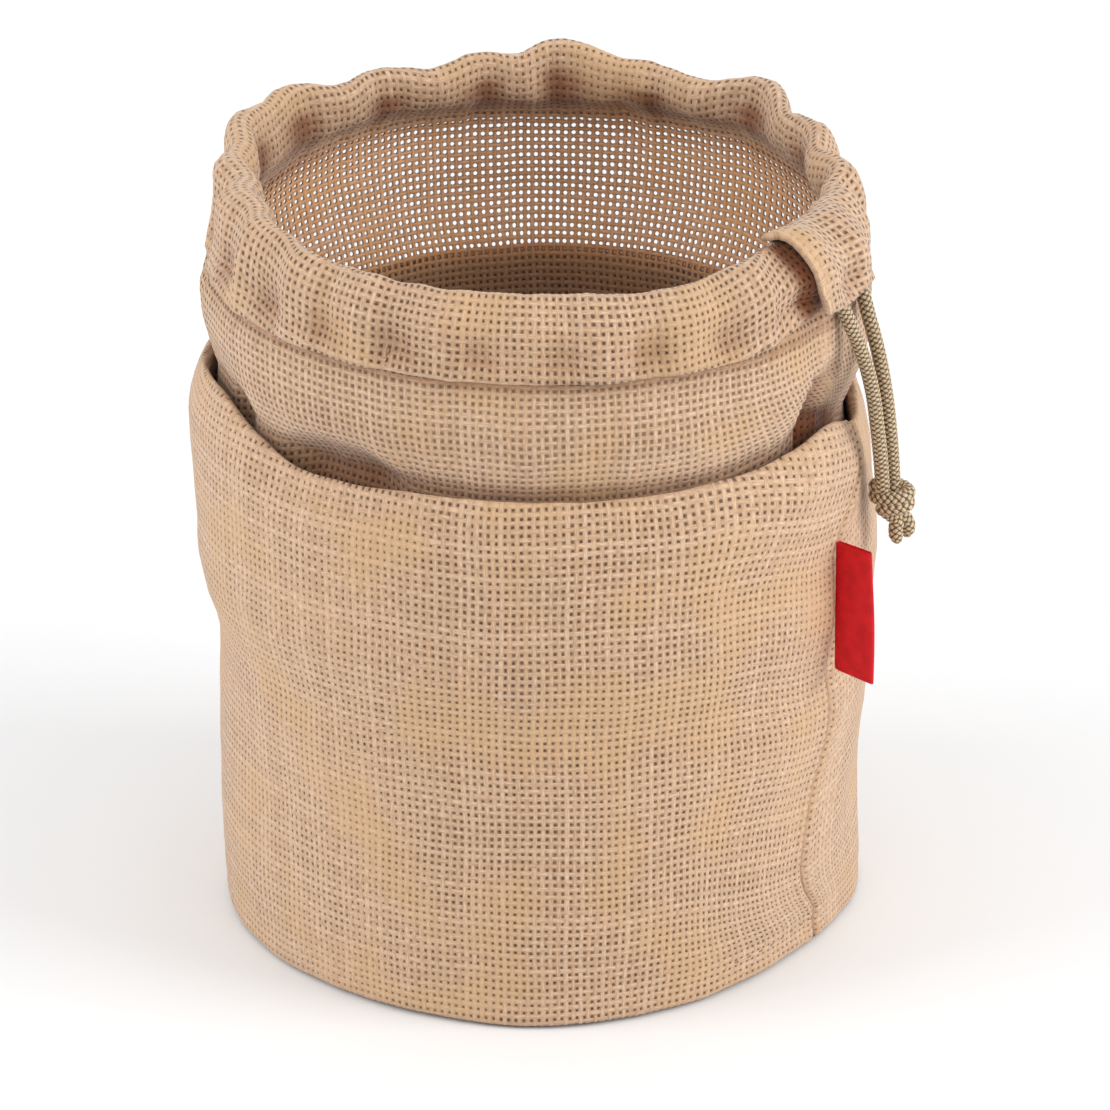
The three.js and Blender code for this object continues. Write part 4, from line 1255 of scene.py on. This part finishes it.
def run_line():
    start = BACK_ROUTE[0][0] + RUN["lead"]
    end = 360 + FRONT_ROUTE[0][0] - RUN["lead"]
    ring = [channel_point(mix(start, end, i / (RUN["points"] - 1))) for i in range(RUN["points"])]
    ends = []
    for line in (back_line, front_line):
        away = (line[0] - line[1]).normalized()
        ends.append([line[0] + away * back for back in RUN_ENDS])
    return smooth_line([*ends[0], *ring, *reversed(ends[1])], 6)


run, _ = braid_piece("drawstring_in_casing", [run_line()], spacing=0.0007, around=28)

# %% [markdown]
# ## The weave
#
# Plain weave is the simplest cloth: each warp yarn goes over one weft yarn and under the next. There are
# far too many crossings here to model, so the weave is a pattern of nodes on the flat cloth's UV map. It
# counts the yarns, finds how far a point is from the middle of its warp and its weft, and lets the two
# rise and fall in turn. Where neither yarn reaches, there is a hole.
#
# Jute is spun unevenly, so each yarn has its own width and tone, and thick slubs come and go along it.


# %% A helper that joins nodes
class Wiring:
    """Adds nodes to a tree and joins them, so that a pattern reads like a sum."""

    def __init__(self, tree):
        self.tree = tree

    def put(self, socket, value):
        if isinstance(value, bpy.types.NodeSocket):
            self.tree.links.new(value, socket)
        else:
            socket.default_value = value

    def math(self, operation, *values):
        node = self.tree.nodes.new("ShaderNodeMath")
        node.operation = operation
        for socket, value in zip(node.inputs, values):
            self.put(socket, value)
        return node.outputs[0]

    def vector(self, x, y, z=0.0):
        node = self.tree.nodes.new("ShaderNodeCombineXYZ")
        for socket, value in zip(node.inputs, (x, y, z)):
            self.put(socket, value)
        return node.outputs[0]

    def noise(self, vector, scale, detail=0.0, flat=False):
        node = self.tree.nodes.new("ShaderNodeTexNoise")
        node.noise_dimensions = "2D" if flat else "3D"
        self.put(node.inputs["Vector"], vector)
        node.inputs["Scale"].default_value = scale
        node.inputs["Detail"].default_value = detail
        return node.outputs[0]

    def luck(self, number):
        """A random value from 0 to 1 for each whole number."""
        node = self.tree.nodes.new("ShaderNodeTexWhiteNoise")
        node.noise_dimensions = "1D"
        self.put(node.inputs["W"], number)
        return node.outputs["Value"]

    def between(self, value, low, high, to_low=0.0, to_high=1.0):
        node = self.tree.nodes.new("ShaderNodeMapRange")
        node.interpolation_type = "SMOOTHSTEP"
        for socket, number in zip(node.inputs, (value, low, high, to_low, to_high)):
            self.put(socket, number)
        return node.outputs[0]

    def blend(self, share, a, b, way="MIX"):
        node = self.tree.nodes.new("ShaderNodeMix")
        node.data_type = "RGBA"
        node.blend_type = way
        self.put(node.inputs[0], share)
        self.put(node.inputs[6], a)
        self.put(node.inputs[7], b)
        return node.outputs[2]


def new_group(name, inputs, outputs):
    """A node group with named sockets, and its first input and output nodes."""
    tree = bpy.data.node_groups.new(name, "ShaderNodeTree")
    for label_text, kind, value in inputs:
        socket = tree.interface.new_socket(label_text, in_out="INPUT", socket_type=kind)
        if value is not None:
            socket.default_value = value
    for label_text, kind in outputs:
        tree.interface.new_socket(label_text, in_out="OUTPUT", socket_type=kind)
    entry = tree.nodes.new("NodeGroupInput")
    leave = tree.nodes.new("NodeGroupOutput")
    return tree, entry.outputs, leave.inputs


# %% The plain weave
PALE = (0.65, 0.452, 0.308, 1)
DEEP = (0.43, 0.26, 0.15, 1)
GOLDEN = (0.54, 0.34, 0.175, 1)
# painted shade: the dark of what lies behind a hole
HOLE_SHADE_BROWN = (0.07, 0.027, 0.008, 1)
PITCH_ACROSS = 0.00213  # metres from warp to warp
PITCH_UP = 0.00225      # and from weft to weft
YARN_WIDTH = 0.64       # as a share of the pitch
OWN_WIDTH = 0.3         # how much a yarn's own luck changes its width
SLUB_WIDTH = 1.1        # how much the slubs along it do
SLUB_RATE = 0.2         # slubs for each crossing
OWN_TONE = 0.15         # share of a yarn's tone that is its own
FIBRE_TONE = 0.85       # and share of its fibres
FIBRE_RATE = (6.0, 0.9)  # fibre streaks across a yarn, and along it for each crossing
LANES = (3.7, 5.3)      # keep the slubs and the fibres of two yarns apart in the noise
SEEDS = (11.5, 57.5)    # for warp and weft
DRIFT = 0.6             # how far the yarns wander, in pitches
DRIFT_SCALE = 36.0
CLOUD_SCALE = 34.0      # broad clouds of wider and more golden yarn
CLOUD_WIDTH = (0.3, 0.85)  # how much a cloud adds to the width, and the width without
WAVE = (0.2, 0.8)       # how far a yarn dips under the other, and its middle height
HOLE_SHARE = (0.4, 0.6)  # how much luck adds to a hole's painted shade, and its least painted shade


def yarn(w, across, along, number, seed, width, slub):
    """Roundness and tone of one family of yarns, and how far a point is from the middle of its gap."""
    own = w.luck(w.math("ADD", number, seed))
    lane = w.math("MULTIPLY_ADD", number, LANES[0], seed)
    slow = w.noise(w.vector(lane, w.math("MULTIPLY", along, SLUB_RATE)), 1.0, flat=True)
    swell = w.math("ADD", w.math("MULTIPLY", w.math("SUBTRACT", own, 0.5), OWN_WIDTH),
                   w.math("MULTIPLY", w.math("SUBTRACT", slow, 0.5), SLUB_WIDTH))
    half = w.math("MULTIPLY", w.math("MULTIPLY", width, 0.5), w.math("MULTIPLY_ADD", swell, slub, 1.0))
    off = w.math("DIVIDE", across, half)
    roundness = w.math("SQRT", w.math("MAXIMUM", w.math("SUBTRACT", 1.0, w.math("MULTIPLY", off, off)), 0.0))
    strand = w.math("ADD", w.math("MULTIPLY", number, LANES[1]), w.math("MULTIPLY", across, FIBRE_RATE[0]))
    fibre = w.noise(w.vector(strand, w.math("MULTIPLY", along, FIBRE_RATE[1])), 1.0, 1.0, flat=True)
    tone = w.math("MULTIPLY_ADD", own, OWN_TONE, w.math("MULTIPLY", fibre, FIBRE_TONE))
    gap = w.math("MAXIMUM", w.math("SUBTRACT", 0.5, half), 0.01)
    into_gap = w.math("DIVIDE", w.math("SUBTRACT", 0.5, w.math("ABSOLUTE", across)), gap)
    return roundness, tone, into_gap


def weave_group():
    tree, given, result = new_group(
        "plain_weave",
        [("Place", "NodeSocketVector", None), ("Pitch Across", "NodeSocketFloat", PITCH_ACROSS),
         ("Pitch Up", "NodeSocketFloat", PITCH_UP), ("Yarn Width", "NodeSocketFloat", YARN_WIDTH),
         ("Slub", "NodeSocketFloat", 0.4), ("Hole Shade Strength", "NodeSocketFloat", 1.0),
         ("Pale", "NodeSocketColor", PALE), ("Deep", "NodeSocketColor", DEEP),
         ("Golden", "NodeSocketColor", GOLDEN), ("Hole Shade Colour", "NodeSocketColor", HOLE_SHADE_BROWN)],
        [("Color", "NodeSocketColor"), ("Height", "NodeSocketFloat"), ("Hole", "NodeSocketFloat")])
    w = Wiring(tree)
    place = given["Place"]
    split = tree.nodes.new("ShaderNodeSeparateXYZ")
    w.put(split.inputs[0], place)
    moved = w.vector(w.math("ADD", split.outputs[1], 0.31), split.outputs[0])
    drift_across = w.math("MULTIPLY", w.noise(place, DRIFT_SCALE, flat=True), DRIFT)
    drift_up = w.math("MULTIPLY", w.noise(moved, DRIFT_SCALE, flat=True), DRIFT)
    x = w.math("ADD", w.math("DIVIDE", split.outputs[0], given["Pitch Across"]), drift_across)
    y = w.math("ADD", w.math("DIVIDE", split.outputs[1], given["Pitch Up"]), drift_up)
    warp_number = w.math("FLOOR", x)
    weft_number = w.math("FLOOR", y)
    warp_across = w.math("SUBTRACT", w.math("SUBTRACT", x, warp_number), 0.5)
    weft_across = w.math("SUBTRACT", w.math("SUBTRACT", y, weft_number), 0.5)
    cloud = w.noise(place, CLOUD_SCALE, 1.0, flat=True)
    width = w.math("MULTIPLY", given["Yarn Width"], w.math("MULTIPLY_ADD", cloud, *CLOUD_WIDTH))
    slub = given["Slub"]
    warp_round, warp_tone, warp_gap = yarn(w, warp_across, y, warp_number, SEEDS[0], width, slub)
    weft_round, weft_tone, weft_gap = yarn(w, weft_across, x, weft_number, SEEDS[1], width, slub)
    warp_turn = w.math("MULTIPLY", w.math("SUBTRACT", w.math("SUBTRACT", y, 0.5), warp_number), math.pi)
    weft_turn = w.math("MULTIPLY", w.math("SUBTRACT", w.math("SUBTRACT", x, 0.5), weft_number), math.pi)
    dip, middle = WAVE
    warp_wave = w.math("MULTIPLY_ADD", w.math("COSINE", warp_turn), dip, middle)
    weft_wave = w.math("MULTIPLY_ADD", w.math("COSINE", weft_turn), -dip, middle)
    warp_height = w.math("MULTIPLY", warp_round, warp_wave)
    weft_height = w.math("MULTIPLY", weft_round, weft_wave)
    height = w.math("MAXIMUM", warp_height, weft_height)
    warp_over = w.math("GREATER_THAN", warp_height, weft_height)
    tone = w.math("ADD", w.math("MULTIPLY", warp_tone, warp_over),
                  w.math("MULTIPLY", weft_tone, w.math("SUBTRACT", 1.0, warp_over)))
    from_hole = w.math("SQRT", w.math("ADD", w.math("POWER", warp_gap, 2.0), w.math("POWER", weft_gap, 2.0)))
    hole = w.between(from_hole, 0.7, 1.4, 1.0, 0.0)
    straw = w.blend(w.between(tone, 0.2, 0.85), given["Deep"], given["Pale"])
    golden = w.math("MULTIPLY", w.between(cloud, 0.45, 0.7), 0.5)
    straw = w.blend(golden, straw, given["Golden"])
    # painted shade where a yarn dips under the other, and a little painted highlight on its crown
    shade = w.between(height, 0.2, 0.95, 0.78, 1.04)
    straw = w.blend(1.0, straw, w.vector(shade, shade, shade), "MULTIPLY")
    # painted shade in the holes, darker or lighter by each hole's luck
    own_hole = w.luck(w.math("MULTIPLY_ADD", warp_number, 17.3, weft_number))
    dark = w.math("MULTIPLY", w.math("MULTIPLY", hole, given["Hole Shade Strength"]),
                  w.math("MULTIPLY_ADD", own_hole, *HOLE_SHARE))
    w.put(result["Color"], w.blend(dark, straw, given["Hole Shade Colour"]))
    w.put(result["Height"], height)
    w.put(result["Hole"], hole)
    return tree


plain_weave = weave_group()
print("the weave has", len(plain_weave.nodes), "nodes")

# %% [markdown]
# ## Finishes
#
# The wall's weave paints its holes dark brown, as painted shade, wherever more cloth lies behind it. The
# sack above the fold is a single layer, and there the holes are really open: the light of the room comes
# through the back of the bag. The attributes painted on the wall say where, and they also darken the folds
# with painted shade and lighten and warm the inner side with painted light.

# %% Jute
BASE_PALE = (0.60, 0.41, 0.27, 1)
PAINTED_SHADE_TINT = (0.34, 0.17, 0.09, 1)   # painted shade: multiplies the colour deep in a fold and in the other shaded places
INSIDE_PAINTED_LIGHT = (1.3, 1.14, 1.02, 1)    # painted light: lightens and warms the colour on the inner side of the sack
CLOSE_YARN = 0.24                # how much wider a yarn is where the cloth is close
SHEER_YARN = -0.17               # and where it is sheer
SHEER_HOLE = -0.4                # holes that let light through need less painted shade


def new_material(name, **settings):
    """A new material, its wiring and its shader, with the settings given by the names of its inputs."""
    material = bpy.data.materials.new(name)
    material.use_nodes = True
    shader = material.node_tree.nodes["Principled BSDF"]
    for setting, value in settings.items():
        shader.inputs[setting.replace("_", " ")].default_value = value
    return material, Wiring(material.node_tree), shader


def add_bump(w, shader, height, distance, strength=1.0):
    node = w.tree.nodes.new("ShaderNodeBump")
    node.inputs["Distance"].default_value = distance
    node.inputs["Strength"].default_value = strength
    w.put(node.inputs["Height"], height)
    w.put(shader.inputs["Normal"], node.outputs[0])


def painted(w, name):
    """The value of an attribute painted on the piece."""
    layer = w.tree.nodes.new("ShaderNodeAttribute")
    layer.attribute_name = name
    return layer.outputs["Fac"]


def flat_place(w):
    """The place on the flat cloth."""
    flat = w.tree.nodes.new("ShaderNodeUVMap")
    flat.uv_map = "cloth"
    return flat.outputs[0]


def jute_material(name, pale, deep, painted_wall):
    material, w, shader = new_material(name, Roughness=0.85, Specular_IOR_Level=0.2, Sheen_Weight=0.22,
                                       Sheen_Roughness=0.5)
    weave = w.tree.nodes.new("ShaderNodeGroup")
    weave.node_tree = plain_weave
    w.put(weave.inputs["Place"], flat_place(w))
    weave.inputs["Pale"].default_value = pale
    weave.inputs["Deep"].default_value = deep
    colour = weave.outputs["Color"]
    if painted_wall:
        see = painted(w, "sheer")
        width = w.math("MULTIPLY_ADD", painted(w, "close"), CLOSE_YARN, YARN_WIDTH)
        w.put(weave.inputs["Yarn Width"], w.math("MULTIPLY_ADD", see, SHEER_YARN, width))
        hole_shade_strength = w.math("MULTIPLY_ADD", w.between(see, 0.0, FRONT_SHEER), SHEER_HOLE, 1.0)
        w.put(weave.inputs["Hole Shade Strength"], hole_shade_strength)
        # painted light lightens and warms the sack's inner side
        colour = w.blend(painted(w, "inside"), colour, w.blend(1.0, colour, INSIDE_PAINTED_LIGHT, "MULTIPLY"))
        # painted shade darkens and reddens the folds, hollows and dents
        colour = w.blend(painted(w, "painted_shade"), colour, w.blend(1.0, colour, PAINTED_SHADE_TINT, "MULTIPLY"))
        gone = w.math("MULTIPLY", weave.outputs["Hole"], see)
        w.put(shader.inputs["Alpha"], w.math("SUBTRACT", 1.0, gone))
    w.put(shader.inputs["Base Color"], colour)
    add_bump(w, shader, weave.outputs["Height"], 0.0003)
    return material


jute = jute_material("open_jute", PALE, DEEP, True)
jute_base = jute_material("base_jute", BASE_PALE, DEEP, False)

# %% Thread, braid and ribbon
GOLD_THREAD = ((0.66, 0.42, 0.17, 1), (0.36, 0.20, 0.07, 1))
DARK_THREAD = ((0.34, 0.20, 0.09, 1), (0.15, 0.08, 0.03, 1))
BRAID_LIGHT = (0.76, 0.59, 0.375, 1)
BRAID_MIDDLE = (0.46, 0.33, 0.175, 1)
BRAID_KHAKI = (0.52, 0.37, 0.20, 1)
# painted shade in the gaps between the braid's strands
BRAID_GAP_SHADE = (0.06, 0.035, 0.015, 1)
RED = (0.72, 0.008, 0.014, 1)
RED_WORN = (0.56, 0.004, 0.008, 1)
RED_RIB = (0.36, 0.0, 0.006, 1)
RIB_UP = 0.00045     # metres from rib to rib of the ribbon
RIB_ACROSS = 0.0006


def thread_material(name, colour, dark):
    material, w, shader = new_material(name, Roughness=0.6)
    where = w.tree.nodes.new("ShaderNodeTexCoord").outputs["Object"]
    fleck = w.noise(where, 1800.0, 2.0)
    w.put(shader.inputs["Base Color"], w.blend(w.between(fleck, 0.3, 0.7), dark, colour))
    add_bump(w, shader, fleck, 0.0002)
    return material


def braid_material():
    material, w, shader = new_material("khaki_braid", Roughness=0.5, Sheen_Weight=0.2)
    crown = painted(w, "crown")
    where = w.tree.nodes.new("ShaderNodeTexCoord").outputs["Object"]
    fleck = w.noise(where, 2400.0, 2.0)
    cloud = w.noise(where, 220.0, 2.0)
    light = w.blend(w.between(fleck, 0.35, 0.7), BRAID_MIDDLE, BRAID_LIGHT)
    light = w.blend(w.math("MULTIPLY", cloud, 0.5), light, BRAID_KHAKI)
    w.put(shader.inputs["Base Color"], w.blend(w.between(crown, 0.3, 0.8), BRAID_GAP_SHADE, light))
    add_bump(w, shader, fleck, 0.00015)
    return material


def ribbon_material():
    material, w, shader = new_material("red_ribbon", Roughness=0.5, Specular_IOR_Level=0.25)
    place = flat_place(w)
    split = w.tree.nodes.new("ShaderNodeSeparateXYZ")
    w.put(split.inputs[0], place)
    ribs = w.math("SINE", w.math("MULTIPLY", split.outputs[1], 2 * math.pi / RIB_UP))
    cross = w.math("SINE", w.math("MULTIPLY", split.outputs[0], 2 * math.pi / RIB_ACROSS))
    height = w.math("MULTIPLY_ADD", w.math("MULTIPLY", ribs, cross), 0.25, 0.5)
    cloud = w.noise(place, 260.0, 3.0)
    red = w.blend(w.between(cloud, 0.3, 0.7), RED_WORN, RED)
    w.put(shader.inputs["Base Color"], w.blend(w.math("MULTIPLY", height, 0.35), red, RED_RIB))
    add_bump(w, shader, height, 0.00012)
    return material


gold_thread = thread_material("golden_thread", *GOLD_THREAD)
dark_thread = thread_material("seam_thread", *DARK_THREAD)
braid = braid_material()
red_ribbon = ribbon_material()


def paint(piece, material):
    piece.data.materials.clear()
    piece.data.materials.append(material)


FINISHES = [
    (jute, [wall]),
    (jute_base, [base]),
    (braid, [front_end, back_end, knot, run]),
    (red_ribbon, [label]),
    (gold_thread, [casing_stitches]),
    (dark_thread, [seam_stitches, base_stitches]),
]
for material, pieces in FINISHES:
    for piece in pieces:
        paint(piece, material)
print("every piece has its finish")

# %% [markdown]
# ## The studio
#
# The bag stands on a plain white floor in a white room. Large soft lights from both sides, a little in
# front, leave only a faint shadow, as on a product table.

# %% Floor and light
FLOOR_SIZE = 30
FLOOR_HEIGHT = -0.0002
FLOOR_WHITE = (0.84, 0.85, 0.86, 1)
ROOM_WHITE = (1, 1, 1, 1)
ROOM_STRENGTH = 0.92
LIGHT_AIM = (0, 0, 0.1)
bpy.ops.object.select_all(action="DESELECT")
bpy.ops.mesh.primitive_plane_add(size=FLOOR_SIZE, location=(0, 0, FLOOR_HEIGHT))
floor = bpy.context.object
floor.name = "floor"
floor_paint, _, _ = new_material("white_floor", Base_Color=FLOOR_WHITE, Roughness=0.9,
                                 Specular_IOR_Level=0.1)
paint(floor, floor_paint)

world = bpy.data.worlds.new("white_room")
world.use_nodes = True
room = world.node_tree.nodes["Background"]
room.inputs["Color"].default_value = ROOM_WHITE
room.inputs["Strength"].default_value = ROOM_STRENGTH
bpy.context.scene.world = world

# name, place, size and strength
SOFT_LIGHTS = [
    ("right_light", (2.0, -0.7, 1.1), 1.3, 32),
    ("left_light", (-2.0, -0.6, 1.1), 1.3, 21),
]
for name, place, size, power in SOFT_LIGHTS:
    light_data = bpy.data.lights.new(name, "AREA")
    light_data.size = size
    light_data.energy = power
    light = bpy.data.objects.new(name, light_data)
    light.location = place
    light.rotation_euler = (Vector(LIGHT_AIM) - Vector(place)).to_track_quat("-Z", "Y").to_euler()
    bpy.context.collection.objects.link(light)
bpy.context.scene.view_settings.view_transform = "Standard"
print("floor and", len(SOFT_LIGHTS), "lights are set")

# %% [markdown]
# ## What each piece is
#
# The frame has to know what moves with what, and which solids each piece stands for.

# %% Telling the frame
STANDS_FOR = [
    (wall, "jute", ["bag_wall"]),
    (base, "jute_base", ["base_disc"]),
    (run, "cord", ["drawstring_run"]),
    (front_end, "cord", ["drawstring_front_end"]),
    (back_end, "cord", ["drawstring_back_end"]),
    (knot, "cord", ["drawstring_knot"]),
    (label, "label", ["side_label"]),
    (casing_stitches, "jute", []),
    (seam_stitches, "jute", []),
    (base_stitches, "jute", []),
]
for piece, slot, nodes in STANDS_FOR:
    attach(piece, "root")
    if nodes:
        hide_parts(*nodes)
for end, line, length in ((front_end, front_line, front_length), (back_end, back_line, back_length)):
    even_line(line, length / 28)[0]
